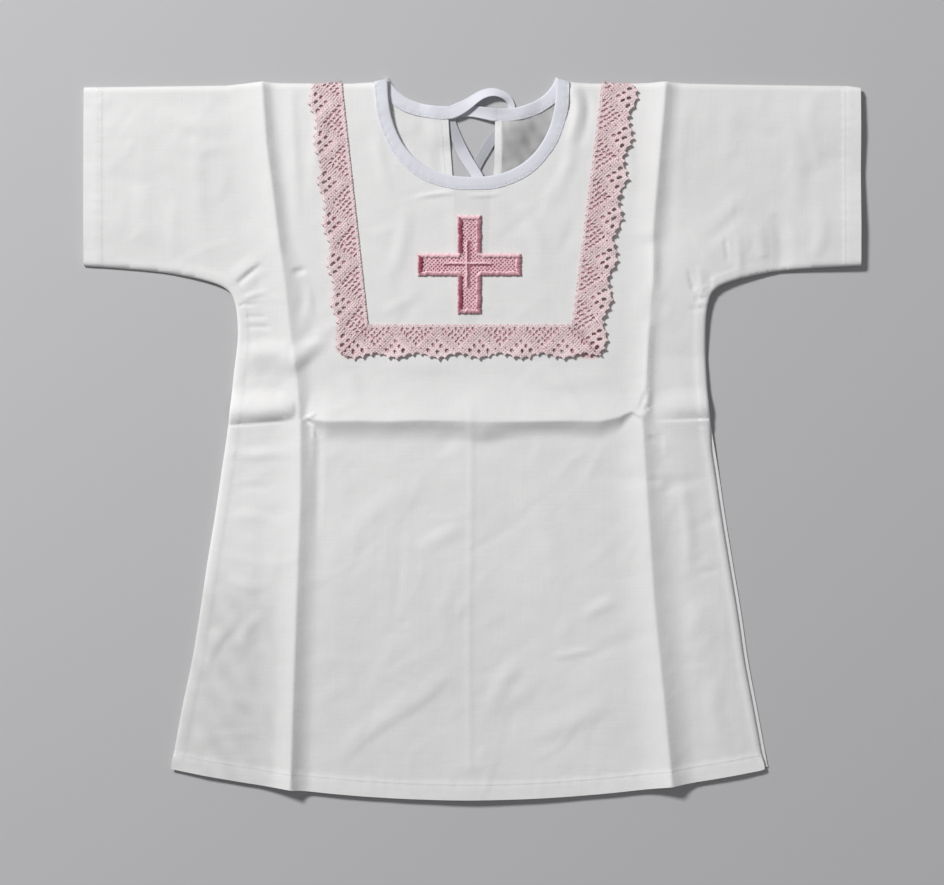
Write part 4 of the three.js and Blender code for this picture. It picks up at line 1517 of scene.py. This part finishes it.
def painted_shading_front(x, y):
    """The thin cloth in painted shade and light: greyer over the open slit, towards the lower left, in the stitching
    grooves, on the sleeves and under the lace; whiter beside the slit, on the hems and over the seam allowances,
    where more layers lie under it.
    """
    d = to_seam(x, y)
    on, groove = hems(x, y, 0)
    t = np.ones(np.shape(x))
    sx = np.where(
        x < (col(SLIT, y, 1) + col(SLIT, y, 2)) / 2,
        x - col(SLIT, y, 1),
        col(SLIT, y, 2) - x,
    )
    t -= 0.055 * smooth((sx + 0.8) / 1.6) * (y > 36) * smooth((y - 38) / 20)
    t += 0.012 * (1 - smooth((np.abs(sx + 2.6) - 2.2) / 0.8)) * (y > 60)
    t -= 0.045 * smooth((-60 - y) / 60) * smooth((50 - x) / 60)
    t += on * (0.045 + 0.02 * ripple(x, y, 52, 8))
    t += 0.035 * (1 - smooth((d - 6.2) / 0.8)) * smooth((104 - y) / 60)
    t -= 0.05 * groove
    # painted shade: each sleeve, where no lining of other folds lies below, is a little greyer
    t -= 0.028 * smooth((np.abs(x) - 122) / 20) * smooth((y - 96) / 24)
    return t - 0.095 * painted_panel_shade(x, y) - 0.03 * under_lace(x, y)


def painted_panel_shade(x, y):
    """Painted shade on the left side panel, where only two thin layers lie: greyer and mottled towards the hem."""
    left = smooth((-118 - x) / 8) * smooth((-70 - y) / 40)
    return left * (1.1 + 0.5 * ripple(x, y, 51, 16))


def under_lace(x, y):
    """1 where the lace covers the cloth."""
    lace = np.zeros(np.shape(x))
    for k in range(3):
        p, q = np.array(LACE_U[k]), np.array(LACE_U[k + 1])
        run = (q - p) / np.hypot(*(q - p))
        s = (x - p[0]) * run[0] + (y - p[1]) * run[1]
        out = (x - p[0]) * run[1] - (y - p[1]) * run[0]
        long = np.hypot(*(q - p))
        here = smooth((out - 0.5) / 2) * smooth((18.2 - out) / 2)
        lace = np.maximum(
            lace, here * smooth((s + 20) / 2) * smooth((long + 20 - s) / 2)
        )
    return lace


def panel(name, surfaces, up, rolled, neck, lines, finer, material, tone, node):
    loop = closed_loop(panel_loop(up, rolled, neck, STEP))
    xy, tris = planar([loop], crease_lines() + hem_lines(up) + lines, STEP, finer)
    x, y = xy[:, 0], xy[:, 1]
    low, top = surfaces(x, y)
    verts, faces = thicken(xy, top, low, tris)
    t = tone(x, y)
    obj = mesh_from(name, verts, faces, np.concatenate([t, t]), sharp=75)
    print(name, "triangles", len(faces))
    obj.data.materials.append(material)
    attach(obj, "root")
    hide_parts(node)
    return obj


front_neck = neck_line(NECK["half"] + BINDING - 1.3, NECK["front"] + BINDING - 1.3)
front_neck = front_neck[front_neck[:, 1] < 221.6]
back_left = even(spline(BACK_EDGE_LEFT, 200), 0.8)
back_right = even(spline(BACK_EDGE_RIGHT, 200), 0.8)

front = panel(
    "front_cloth",
    front_surfaces,
    0,
    True,
    front_neck,
    allowance_lines(),
    FINER,
    WHITE,
    painted_shading_front,
    "front",
)

# the under_lace attribute steers the painted pink shade of the cloth under the lace
co = np.empty(len(front.data.vertices) * 3, np.float32)
front.data.vertices.foreach_get("co", co)
co = co.reshape(-1, 3) * 1000
front.data.attributes.new("under_lace", "FLOAT", "POINT").data.foreach_set(
    "value", under_lace(co[:, 0], co[:, 1]).astype(np.float32)
)

slit_left = spline(SLIT[:, [1, 0]], 120)
slit_right = spline(SLIT[:, [2, 0]], 120)


def painted_shading_back(x, y):
    on, groove = hems(x, y, BACK_HEM_UP)
    sx = np.where(x < 0, col(SLIT, y, 1) - x, x - col(SLIT, y, 2))
    near = (y > 44) & (sx > -1)
    # painted light on the hems and the slit's hem bands, painted shade in their stitching grooves, darkest on the
    # right of the slit
    t = 1 + 0.03 * on - 0.12 * groove
    t += 0.03 * (1 - smooth((sx - 4.6) / 0.6)) * near
    t -= np.where(x > 0, 0.20, 0.05) * np.exp(-(((sx - 4.4) / 0.5) ** 2)) * near
    # painted shade on one thin layer: greyer on the right of the slit, inside the neck, and mottled
    inner = smooth((y - 150) / 10) * smooth((x - 17.8) / 1.6) * smooth((60 - x) / 8)
    deep = 0.30 + 0.16 * smooth((x - 20) / 14) + 0.06 * smooth((196 - y) / 14)
    t -= inner * (deep + 0.10 * ripple(x, y, 17, 9) - 0.10 * smooth((y - 192) / 8))
    # painted shade, mottled, on the left of the slit inside the neck
    t -= 0.03 * smooth((y - 150) / 10) * smooth((-14 - x) / 6) * (1 + ripple(x, y, 18, 12))
    return t


def back_loop():
    """The back's neck edge with the open slit: right side, down the slit, up it, left side."""
    right = beside(back_right, BINDING - 1.3)
    left = beside(back_left, BINDING - 1.3)[::-1]
    right = right[right[:, 1] < 221.6]
    left = left[left[:, 1] < 221.6]
    down = slit_right[slit_right[:, 1] < right[-1, 1] - 0.5]
    back_up = slit_left[slit_left[:, 1] < left[0, 1] - 0.5][::-1]
    return np.vstack(
        [right, even(down, 1.6), [(-2.2, 37.0)], even(back_up, 1.6), left]
    )


back = panel(
    "back_cloth",
    back_surfaces,
    BACK_HEM_UP,
    False,
    back_loop(),
    slit_lines(),
    [],
    WHITE_BACK,
    painted_shading_back,
    "back",
)

# ---------------------------------------------------------------- neck binding

BIND_PROFILE = np.array(
    [
        (0.0, 0.0),
        (0.06, 0.36),
        (0.35, 0.62),
        (1.2, 0.70),
        (3.2, 0.74),
        (5.4, 0.72),
        (6.5, 0.66),
        (6.95, 0.55),
        (7.4, 0.64),
        (7.9, 0.62),
        (8.2, 0.46),
        (8.2, 0.28),
        (1.6, 0.26),
        (0.7, 0.16),
        (0.45, 0.0),
        (0.7, -0.16),
        (1.6, -0.26),
        (8.0, -0.28),
        (8.0, -0.46),
        (7.6, -0.6),
        (3.2, -0.66),
        (1.2, -0.62),
        (0.35, -0.52),
        (0.06, -0.3),
    ]
)


def binding(name, line, surface, node, seed):
    """line runs along the neck's inner edge; the tape lies to its outside, folded over the cloth's edge."""
    line = even(line, 0.8)
    n = len(line)
    run = np.gradient(line, axis=0)
    run /= np.linalg.norm(run, axis=1)[:, None]
    out = np.column_stack([run[:, 1], -run[:, 0]])
    # outward is away from the neck's middle
    out *= np.sign(np.einsum("ij,ij->i", out, line - [0, 260.0]).mean())
    r = np.random.default_rng(seed)
    k = len(BIND_PROFILE)
    u, w = BIND_PROFILE[:, 0], BIND_PROFILE[:, 1]
    s = np.arange(n) * 0.8
    wob = 0.12 * np.sin(s * 0.31 + r.uniform(0, 6)) + 0.10 * np.sin(
        s * 0.117 + r.uniform(0, 6)
    )
    U = u[None, :]
    reach = U * (1 + wob[:, None] / 8.2)
    x = line[:, :1] + out[:, :1] * reach
    y = line[:, 1:2] + out[:, 1:2] * reach
    # at the shoulders the neck's edge stands up to a small tip
    y = y + 1.7 * (1 - np.clip(U / 8.2, 0, 1)) * smooth((line[:, 1:2] - 212) / 11)
    low, top = surface(x, y)
    # puckers slant across the tape
    puck = (
        0.06
        * np.sin(s[:, None] * 1.15 + U * 0.55 + 1.3 * np.sin(s[:, None] * 0.21))
        * np.clip((U - 0.5) / 6, 0, 1)
        * (w > 0)[None, :]
    )
    z = (low + top) / 2 + w[None, :] + puck
    verts = np.stack([x, y, z], -1).reshape(-1, 3)
    i = np.arange(n - 1)[:, None] * k
    j = np.arange(k)[None]
    a, b = i + j, i + (j + 1) % k
    quads = np.stack([a, b, b + k, a + k], -1).reshape(-1, 4)
    tris = [quads[:, [0, 1, 2]], quads[:, [0, 2, 3]]]
    # ends: the folded section is a ring of tape, filled between its outside and inside
    half = [(0, 1, 13), (0, 13, 14), (1, 2, 13), (2, 12, 13), (2, 3, 12), (3, 4, 12)]
    half += [(4, 5, 12), (5, 11, 12), (5, 6, 11), (6, 7, 11), (7, 8, 11), (8, 9, 11)]
    half += [(9, 10, 11), (0, 14, 15), (0, 15, 23), (23, 15, 16), (23, 16, 22)]
    half += [(22, 16, 21), (21, 16, 20), (20, 16, 17), (20, 17, 19), (19, 17, 18)]
    cap = np.array(half)
    e = (n - 1) * k
    tris += [cap, cap[:, ::-1] + e]
    tris = np.vstack(tris)
    p = verts[tris]
    if np.einsum("ij,ij->i", p[:, 0], np.cross(p[:, 1], p[:, 2])).sum() < 0:
        tris = tris[:, ::-1]
    # painted shade in the groove of the stitching on the tape's top
    tone = np.tile(np.where((u > 6.4) & (u < 7.2) & (w > 0), 0.975, 1.0), n)
    # painted shadow of the left tie's loop on the right back binding, darker towards its slit end
    if node == "binding_back_right":
        fade = 0.17 * (1 - smooth((x - 13) / 17)) * smooth((5.4 - U) / 2.6)
        tone -= (fade + 0 * U).ravel()
    obj = mesh_from(name, verts, tris, tone, sharp=60)
    obj.data.materials.append(TAPE)
    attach(obj, "root")
    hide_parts(node)
    stitch = line + out * 6.95
    stitch_line(
        "binding",
        stitch,
        lambda x, y: (sum(surface(x, y)) / 2) + 0.56,
        length=2.0,
        gap=0.55,
        wide=0.28,
        rise=0.06,
    )
    return obj


def front_mid(x, y):
    """Heights of the front under its binding, kept above the back binding at the shoulders."""
    low, top = front_surfaces(x, y)
    lift = 0.9 * (1 - smooth((np.abs(np.abs(x) - 56.5) - 4) / 8)) * smooth((y - 196) / 14)
    return low + lift, low + lift + SHELL


def back_mid(x, y):
    """Heights of the back under its binding, lowered a little under the front one at the shoulders."""
    low = back_low(x, y)
    low = np.maximum(low - 0.15 * smooth((y - 205) / 10), 0.22)
    return low + 0.25, low + 0.25 + SHELL


front_edge = neck_line(NECK["half"], NECK["front"])
front_edge = front_edge[front_edge[:, 1] < 222.9]
binding("binding_front_tape", front_edge, front_mid, "binding_front", 1)

binding("binding_back_left_tape", back_left, back_mid, "binding_back_left", 2)
binding("binding_back_right_tape", back_right, back_mid, "binding_back_right", 3)

# ---------------------------------------------------------------- stitching of the hems

cuff_y = np.arange(SIDE[0, 0] + 2, SHOULDER[0][1] - 1, 0.5)
for sign in (-1, 1):
    x = np.full(len(cuff_y), sign * (CUFF_X - CUFF_HEM + 1.2))
    stitch_line("front", np.column_stack([x, cuff_y]), front_top, wide=0.24, rise=-0.03)
hem_x = np.linspace(-183, 180, 500)
stitch_line(
    "front",
    np.column_stack([hem_x, hem_y(hem_x) + HEM - 1.2]),
    front_top,
    wide=0.24,
    rise=-0.03,
)
back_top = lambda x, y: back_surfaces(np.asarray(x, float), np.asarray(y, float))[1]
for k, sign in ((1, -1), (2, 1)):
    sy = np.arange(60, 197, 0.5)
    stitch_line(
        "back",
        np.column_stack([col(SLIT, sy, k) + sign * 4.2, sy]),
        back_top,
        rise=0.02,
    )
back_bottom = lambda x, y: back_surfaces(np.asarray(x, float), np.asarray(y, float))[
    0
] + 0.03

for group, name in (
    ("front", "stitches_front"),
    ("back", "stitches_back"),
    ("binding", "stitches_binding"),
):
    s = make_stitches(group, name)
    s.data.materials.append(THREAD)
    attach(s, "root")

# ---------------------------------------------------------------- lace

# One repeat of the lace, about its scallop's middle. Rows of the ground: distance from the footside, how many holes.
GROUND = [(3.1, 6), (4.95, 5), (6.8, 4), (8.65, 3), (10.5, 2), (12.3, 1)]
GROUND_STEP = 3.6
# Holes of the fan: along, across, half length, half width, turn
FAN = [
    (0.1, 10.6, 1.2, 0.85, 70),
    (-2.7, 13.3, 1.3, 0.9, 55),
    (2.5, 13.6, 1.2, 0.9, 95),
    (-5.6, 16.2, 1.5, 1.05, 40),
    (-0.2, 16.9, 1.5, 1.0, 60),
    (5.2, 16.5, 1.4, 1.1, 75),
]
TRAIL_START, TRAIL_END = 3.0, 17.8
PICOT_STEP = 5.12


def lace_field(s, t, phase, pitch, seed, scallop):
    """Above 0 on the threads. s runs along the footside from 0, t out from it. Also the relief, and the tone, which
    paints light and shade on the threads.
    """
    k = np.round((s - phase) / pitch)
    u = ((s - phase) - k * pitch) * (25.6 / pitch)  # from the middle of the nearest scallop
    half = 12.8
    r = np.random.default_rng(seed)
    # scalloped edge with its picots, each a little different
    first = int(np.floor((s.min() - phase) / (pitch / 5))) - 2
    count = int(np.ceil((s.max() - s.min()) / (pitch / 5))) + 5
    high = r.uniform(1.15, 2.05, count)
    lean = r.normal(0, 0.34, count)
    index = np.clip(np.round((s - phase) / (pitch / 5)).astype(int) - first, 0, count - 1)
    near_p = (s - phase) - (index + first) * (pitch / 5) - lean[index]
    edge = 18.9 + scallop * np.cos(math.pi * u / half) + high[index] * np.exp(
        -((np.abs(near_p) / 0.92) ** 2.2)
    )
    foot = t + 0.10 * np.sin(math.pi * s / 1.3) + 0.08 * np.sin(s * 0.53)
    f = np.minimum(edge - t, foot)
    near = np.full(s.shape, 9.0)
    count = int(np.ceil((s.max() - s.min()) / pitch)) + 4
    first = int(np.floor((s.min() - phase) / pitch)) - 1
    for c in range(first, first + count):
        centre = phase + c * pitch
        holes = []
        for j, (across, n) in enumerate(GROUND):
            for i in range(n):
                along = (i - (n - 1) / 2) * GROUND_STEP + half
                holes.append(
                    (
                        centre + (along + r.normal(0, 0.22)) * pitch / 25.6,
                        across + r.normal(0, 0.18),
                        1.08 * r.uniform(0.72, 1.3),
                        0.70 * r.uniform(0.7, 1.2),
                        (58 if (i + j) % 2 else 104) + r.normal(0, 18),
                    )
                )
        for along, across, a, b, turn in FAN:
            holes.append(
                (
                    centre + (along + r.normal(0, 0.25)) * pitch / 25.6,
                    across + r.normal(0, 0.2),
                    a * r.uniform(0.85, 1.15),
                    b * r.uniform(0.85, 1.15),
                    turn + r.normal(0, 12),
                )
            )
        # small holes where the trail's threads part
        for side in (-1, 1):
            for at in (0.22, 0.5, 0.78):
                holes.append(
                    (
                        centre + (side * half * at + r.normal(0, 0.5)) * pitch / 25.6,
                        TRAIL_START + (TRAIL_END - TRAIL_START) * at + r.normal(0, 0.5),
                        0.42,
                        0.34,
                        r.uniform(0, 180),
                    )
                )
        for hx, hy, a, b, turn in holes:
            m = (np.abs(s - hx) < 3) & (np.abs(t - hy) < 3)
            if not m.any():
                continue
            c_, s_ = math.cos(math.radians(turn)), math.sin(math.radians(turn))
            dx, dy = s[m] - hx, t[m] - hy
            p_, q_ = (dx * c_ + dy * s_) / a, (-dx * s_ + dy * c_) / b
            near[m] = np.minimum(near[m], (np.hypot(p_, q_) - 1) * min(a, b) * 1.15)
    f = np.minimum(f, near)
    # the trail of close cloth stitch winds from footside to edge and back
    au = np.abs(u)
    slope = (TRAIL_END - TRAIL_START) / half
    off = (t - TRAIL_START - slope * au) / math.hypot(1, slope)
    run = (au + slope * (t - TRAIL_START)) / math.hypot(1, slope)
    trail = smooth((2.5 - np.abs(off)) / 0.7)
    shake = 0.25 * np.sin(s * 1.9 + 1.3 * np.sin(t * 1.4))
    weave = np.sin(2 * math.pi * (off + shake) / 1.7) * np.sin(2 * math.pi * run / 1.75)
    ribs = np.sin(2 * math.pi * (run + 0.5 * shake) / 1.6)
    # plaits of the ground and the fan
    plait = np.sin(2 * math.pi * (s + t * 0.8 + shake) / 1.9) * np.sin(
        2 * math.pi * (s - t * 0.9 + shake) / 2.1
    )
    round_ = np.clip(f / 0.5, 0, 1)
    cord = np.sqrt(1 - (1 - round_) ** 2)
    fan = smooth((t - 18.2 - 1.2 * np.cos(math.pi * u / half)) / 0.8)
    relief = (
        0.30
        + 0.42 * cord
        + trail * (0.16 + 0.13 * weave + 0.10 * ribs)
        + (1 - trail) * 0.17 * plait
    )
    # painted light and shade: the cords' tops lighter and their sides darker, the trail's weave and ribs and the
    # plaits lighter and darker with their relief; the trail darker, the fan's edge lighter
    tone = (
        0.74
        + 0.24 * (cord - 0.8)
        - 0.14 * trail
        + trail * (0.24 * weave + 0.22 * ribs)
        + (1 - trail) * 0.36 * plait
        + 0.18 * fan
    )
    # footside: two passive threads, pricked down every few stitches
    band = np.exp(-(((t - 0.9) / 0.6) ** 2))
    relief += 0.14 * band * (0.7 + 0.3 * np.sin(2 * math.pi * s / 1.5))
    tone += 0.12 * band
    prick = np.exp(-(((np.mod(s + 0.5 * np.sin(s * 0.31), 4.7) - 2.35) / 0.45) ** 2 + ((t - 0.45) / 0.42) ** 2))
    relief -= 0.30 * prick
    # painted shade in the pinholes
    tone -= 0.85 * prick
    return f, relief, tone


def sampler(xs, ys, at, cell):
    """Reads grids at the cut points."""
    fx = np.clip((at[:, 0] - xs[0]) / cell, 0, len(xs) - 1.001)
    fy = np.clip((at[:, 1] - ys[0]) / cell, 0, len(ys) - 1.001)
    ix, iy = fx.astype(int), fy.astype(int)
    gx, gy = fx - ix, fy - iy
    return lambda a: (
        a[iy, ix] * (1 - gx) * (1 - gy)
        + a[iy, ix + 1] * gx * (1 - gy)
        + a[iy + 1, ix] * (1 - gx) * gy
        + a[iy + 1, ix + 1] * gx * gy
    )


def lace_piece(name, node, k, phase, pitch, seed, wide, lift, scallop):
    p, q = np.array(LACE_U[k]), np.array(LACE_U[k + 1])
    run = q - p
    long = float(np.hypot(*run))
    run = run / long
    out = np.array([run[1], -run[0]])

    def turn(a, b, c):
        u = (np.array(b) - a) / np.linalg.norm(np.array(b) - a)
        v = (np.array(c) - b) / np.linalg.norm(np.array(c) - b)
        return math.tan(math.acos(float(u @ v)) / 2)

    start = turn(LACE_U[k - 1], LACE_U[k], LACE_U[k + 1]) if k > 0 else 0
    end = turn(LACE_U[k], LACE_U[k + 1], LACE_U[k + 2]) if k < 2 else 0
    cell = 0.42
    xs = np.arange(-24 * start - 1, long + 24 * end + 1 + cell, cell)
    ys = np.arange(-0.6, 25.6, cell)
    S, T = np.meshgrid(xs, ys)
    f, relief, tone = lace_field(S, T / wide, phase, pitch, seed, scallop)
    # the mitres, and the turned ends at the shoulders
    lo = S + T * start - (0.12 if k > 0 else -0.6)
    hi = long + T * end - S - (0.12 if k < 2 else -0.6)
    lo /= math.hypot(1, start)
    hi /= math.hypot(1, end)
    f = np.minimum(f, np.minimum(lo, hi))
    # the tips of the two folded corners are tucked in, so that they are round
    X, Y = p[0] + S * run[0] + T * out[0], p[1] + S * run[1] + T * out[1]
    for (cx, cy), side, reach in ((LACE_U[1], -1, 24.4), (LACE_U[2], 1, 25.4)):
        far = (side * (X - cx) - (Y - cy)) / math.sqrt(2)
        along = (side * (X - cx) + (Y - cy)) / math.sqrt(2)
        picots = 0.75 * np.cos(2 * math.pi * (along + 0.6) / 4.4)
        round_off = 0.03 * np.minimum(np.abs(along), 8) ** 2
        f = np.minimum(f, reach + picots - round_off - far)
    st, tris = contour(f, xs, ys)
    sample = sampler(xs, ys, st, cell)
    h, tn = sample(relief), sample(tone)
    # doubled at the mitres: a little higher and deeper in colour
    fold = np.zeros(len(st))
    if k > 0:
        fold = np.maximum(fold, 1 - smooth(np.abs(st[:, 0] + st[:, 1] * start) / 5))
    if k < 2:
        fold = np.maximum(
            fold, 1 - smooth(np.abs(long + st[:, 1] * end - st[:, 0]) / 5)
        )
    xy = p + st[:, :1] * run + st[:, 1:] * out
    base = front_top(xy[:, 0], xy[:, 1])
    # the scallops lift off the cloth, some more than others
    swell = smooth((st[:, 1] - 9) / 12) * (
        lift * (1 + 0.55 * ripple(xy[:, 0], xy[:, 1], 40 + seed, 15))
    )
    swell = np.maximum(swell, 0.02)
    bottom = base + 0.05 + swell
    top = bottom + h + 0.22 * fold
    verts, faces = thicken(xy, top, bottom, tris)
    t2 = np.clip(tn - 0.20 * fold, 0, 1)
    # painted shade: the underside and walls get tone 0, dark in the holes
    obj = mesh_from(name, verts, faces, np.concatenate([t2, t2 * 0]), sharp=0)
    obj.data.materials.append(LACE)
    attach(obj, "root")
    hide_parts(node)
    return obj


LONG = math.dist(LACE_U[0], LACE_U[1])
LONG_R = math.dist(LACE_U[2], LACE_U[3])
lace_piece("lace_left_strip", "lace_left", 0, 11.2, 25.2, 21, 1.03, 0.75, 1.25)
lace_piece("lace_bottom_strip", "lace_bottom", 1, 17.0, 26.0, 22, 1.0, 1.25, 1.35)
lace_piece("lace_right_strip", "lace_right", 2, LONG_R - 7.4, 25.2, 23, 1.07, 1.5, 1.75)

# ---------------------------------------------------------------- cross

ARM_X, ARM_Y = 32.2, 30.5  # half the span across and up
HALF_UP, HALF_ACROSS = 7.5, 7.0  # half the width of the upright and of the bar
RIM = 3.1


def box_distance(x, y, hx, hy):
    dx, dy = np.abs(x) - hx, np.abs(y) - hy
    return -(
        np.minimum(np.maximum(dx, dy), 0)
        + np.hypot(np.maximum(dx, 0), np.maximum(dy, 0))
    )


def uneven(x, seed, size):
    """A wandering line about 1 high, with waves about size long."""
    r = np.random.default_rng(seed)
    return sum(
        r.uniform(0.4, 1) * np.sin(2 * math.pi * x / (size * k) + r.uniform(0, 6.28))
        for k in (0.45, 0.8, 1.3, 2.1)
    ) / 1.6


def cross_piece():
    cell = 0.27
    xs = np.arange(-33.6, 33.8, cell)
    ys = np.arange(-32.1, 32.3, cell)
    X, Y = np.meshgrid(xs, ys)
    # the hand of the machine: edges wander a little
    x = X + 0.22 * uneven(Y, 1, 6)
    y = Y + 0.24 * uneven(X, 2, 5)
    up = box_distance(x, y, HALF_UP, ARM_Y)
    bar = box_distance(x, y, ARM_X, HALF_ACROSS)
    f = np.maximum(up, bar)
    # at the crossing the nearest edge is an inner corner
    cx, cy = np.abs(x) - HALF_UP, np.abs(y) - HALF_ACROSS
    f = np.where((cx < 0) & (cy < 0), np.hypot(cx, cy), f)
    # the satin stitches run square to the nearest edge
    upright = np.abs(y) > HALF_ACROSS
    end_x = (ARM_X - np.abs(x)) < (HALF_ACROSS - np.abs(y))
    end_y = (ARM_Y - np.abs(y)) < (HALF_UP - np.abs(x))
    stitch_x = np.where(upright, ~end_y, end_x)  # stitches that run along X
    along = np.where(stitch_x, Y, X)
    pitch = 0.66
    row = np.floor(along / pitch)
    wob = np.sin(row * 12.9898 + np.sign(X + Y) * 4.1) * 43758.5453
    wob = wob - np.floor(wob)
    comb = np.abs(np.sin(math.pi * along / pitch))
    f = f + 0.34 * (wob - 0.5)
    # borders: wider on the uprights than on the bar
    rim = RIM + np.where(stitch_x, 0.35, -0.35) + 0.3 * uneven(along, 3, 4) + 0.3 * (wob - 0.5)
    inside_rim = f < rim
    r_ = np.clip(f / rim, 0, 1)
    ridge = np.sqrt(np.clip(1 - (2 * r_ - 1) ** 2, 0, 1))
    border = 0.45 + 1.0 * ridge + 0.07 * comb
    # net: threads both ways over a lower ground, painted darker in the gaps
    wa, wb = 0.25 * uneven(X - Y, 4, 7), 0.25 * uneven(X + Y, 5, 7)
    wa = wa + 0.22 * np.sin(3.1 * X + 1.7 * np.sin(1.3 * Y))
    wb = wb + 0.22 * np.sin(2.7 * Y + 1.9 * np.sin(1.1 * X))
    a, b = (X + Y + wa) / 2.45, (X - Y + wb) / 2.45
    na, nb = np.abs(np.sin(math.pi * a)), np.abs(np.sin(math.pi * b))
    thread_a, thread_b = smooth((na - 0.45) / 0.5), smooth((nb - 0.45) / 0.5)
    over = (np.floor(a + 0.5) + np.floor(b + 0.5)) % 2
    net = 0.36 + 0.26 * np.maximum(thread_a * (0.8 + 0.2 * over), thread_b * (1 - 0.2 * over))
    open_ = (1 - thread_a) * (1 - thread_b)
    # raised lines along the middle of both bars, each a ridge beside a groove
    dx = X + 1.0 + 0.15 * uneven(Y, 6, 5)
    dy = Y - 0.2 + 0.18 * uneven(X, 7, 4)
    in_y = smooth((Y + 14.6) / 0.8) * smooth((15.0 - Y) / 0.8)
    in_x = smooth((X + 16.2) / 0.8) * smooth((14.2 - X) / 0.8)
    up_ridge = np.exp(-(((dx + 0.75) / 0.62) ** 2)) * in_y
    up_groove = np.clip(1 - np.abs(dx - 0.75) / 1.15, 0, 1) * in_y
    bar_ridge = np.exp(-(((dy - 0.6) / 0.62) ** 2)) * in_x
    bar_groove = np.clip(1 - np.abs(dy + 0.55) / 0.75, 0, 1) * in_x
    z = np.where(inside_rim, border, net)
    # painted light and shade over the thread's own deeper rose: the borders' tone differs by side as the light falls
    # across their stitches, darkest on the left upright
    tone_rim = np.where(
        stitch_x, np.where(x > 0, 0.36, 0.03), np.where(y > 0, 0.92, 0.55)
    )
    tone_rim = tone_rim + 0.16 * (comb - 0.5) + 0.26 * (wob - 0.5)
    # the outermost stitch ends catch the light on the left and above
    lit = smooth((0.85 - f) / 0.4) * np.where(stitch_x, x < 0, y > 0)
    # painted light on the borders' inner edges on the right and below, painted shade on the others
    inner = smooth((f - rim + 0.8) / 0.5)
    bright_inner = np.where(stitch_x, x > 0, y < 0)
    tone_rim = np.where(
        bright_inner, tone_rim + 0.62 * inner - 0.12, tone_rim - 0.30 * inner
    )
    tone_rim = tone_rim + 0.66 * lit
    patchy = 0.5 + 0.5 * np.sin(1.9 * X + 2.3 * np.sin(1.7 * Y)) * np.sin(2.1 * Y + 1.3)
    # painted highlight on the net's threads, painted shade in its open gaps
    tone_net = (
        0.08
        + (0.62 + 0.42 * patchy) * np.maximum(thread_a * (0.7 + 0.3 * over), thread_b * (1 - 0.3 * over))
        - 0.40 * open_
    )
    tone = np.where(inside_rim, tone_rim, tone_net)
    free = ~inside_rim
    z = z + free * (0.75 * np.maximum(up_ridge, bar_ridge) - 0.0)
    z = z - free * 0.16 * np.maximum(up_groove, bar_groove)
    # painted shade in the grooves and painted highlight on the raised lines
    tone = np.where(free & (up_groove > 0.05), 0.10 + 0.1 * comb, tone)
    tone = np.where(free & (bar_groove > 0.25) & (up_groove < 0.3), 0.08, tone)
    tone = np.where(free & (up_ridge > 0.35), 0.95, tone)
    tone = np.where(free & (bar_ridge > 0.35), 0.92, tone)
    z = np.where(f < 0.4, np.minimum(z, 0.4 + 1.8 * np.clip(f, 0, 1)), z)
    xy, tris = contour(f, xs, ys)
    sample = sampler(xs, ys, xy, cell)
    h, t = sample(z), np.clip(sample(tone), 0, 1)
    world = xy + np.array(CROSS_AT)
    base = front_top(world[:, 0], world[:, 1])
    verts, faces = thicken(world, base + 0.05 + h, base + 0.05, tris)
    # the underside and walls get a darker tone, painted shade
    obj = mesh_from(
        "cross_embroidery", verts, faces, np.concatenate([t, t * 0.3]), sharp=0
    )
    obj.data.materials.append(SATIN)
    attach(obj, "root")
    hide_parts("cross")
    print("cross triangles", len(faces))
    return obj


cross_piece()

# ---------------------------------------------------------------- floor and light

floor_mesh = bpy.data.meshes.new("floor")
R = 2.5
floor_mesh.from_pydata(
    [(-R, -R, -0.0003), (R, -R, -0.0003), (R, R, -0.0003), (-R, R, -0.0003)],
    [],
    [(0, 1, 2, 3)],
)
floor = bpy.data.objects.new("floor", floor_mesh)
bpy.context.scene.collection.objects.link(floor)
m = Nodes("floor_paper")
grain = m.noise((1, 1, 1), 0.8, 3.0, 0.6)
floor_mesh.materials.append(
    m.done(
        m.times(lin(196, 196, 198), m.math("MULTIPLY_ADD", grain, 0.03, 0.985)),
        0.9,
        m.bump(grain, 0.05, 0.3),
        Specular_IOR_Level=0.2,
    )
)


def area(name, place, target, size, power, colour=(1, 1, 1)):
    light = bpy.data.lights.new(name, "AREA")
    light.shape = "DISK"
    light.size = size
    light.energy = power
    light.color = colour
    obj = bpy.data.objects.new(name, light)
    obj.location = place
    obj.rotation_euler = (
        (Vector(target) - Vector(place)).to_track_quat("-Z", "Y").to_euler()
    )
    bpy.context.scene.collection.objects.link(obj)
    return obj


area("key", (-1.6, 1.65, 2.0), (0.0, 0.0, 0.0), 0.62, 84, (1.0, 0.997, 0.99))
area("fill", (1.0, -0.4, 2.3), (0, 0, 0), 2.4, 6, (0.97, 0.985, 1.0))

world = bpy.data.worlds.new("studio")
world.use_nodes = True
background = world.node_tree.nodes["Background"]
background.inputs[0].default_value = (0.98, 0.985, 1.0, 1)
background.inputs[1].default_value = 0.13
bpy.context.scene.world = world
bpy.context.scene.view_settings.view_transform = "Standard"
bpy.context.scene.view_settings.look = "None"
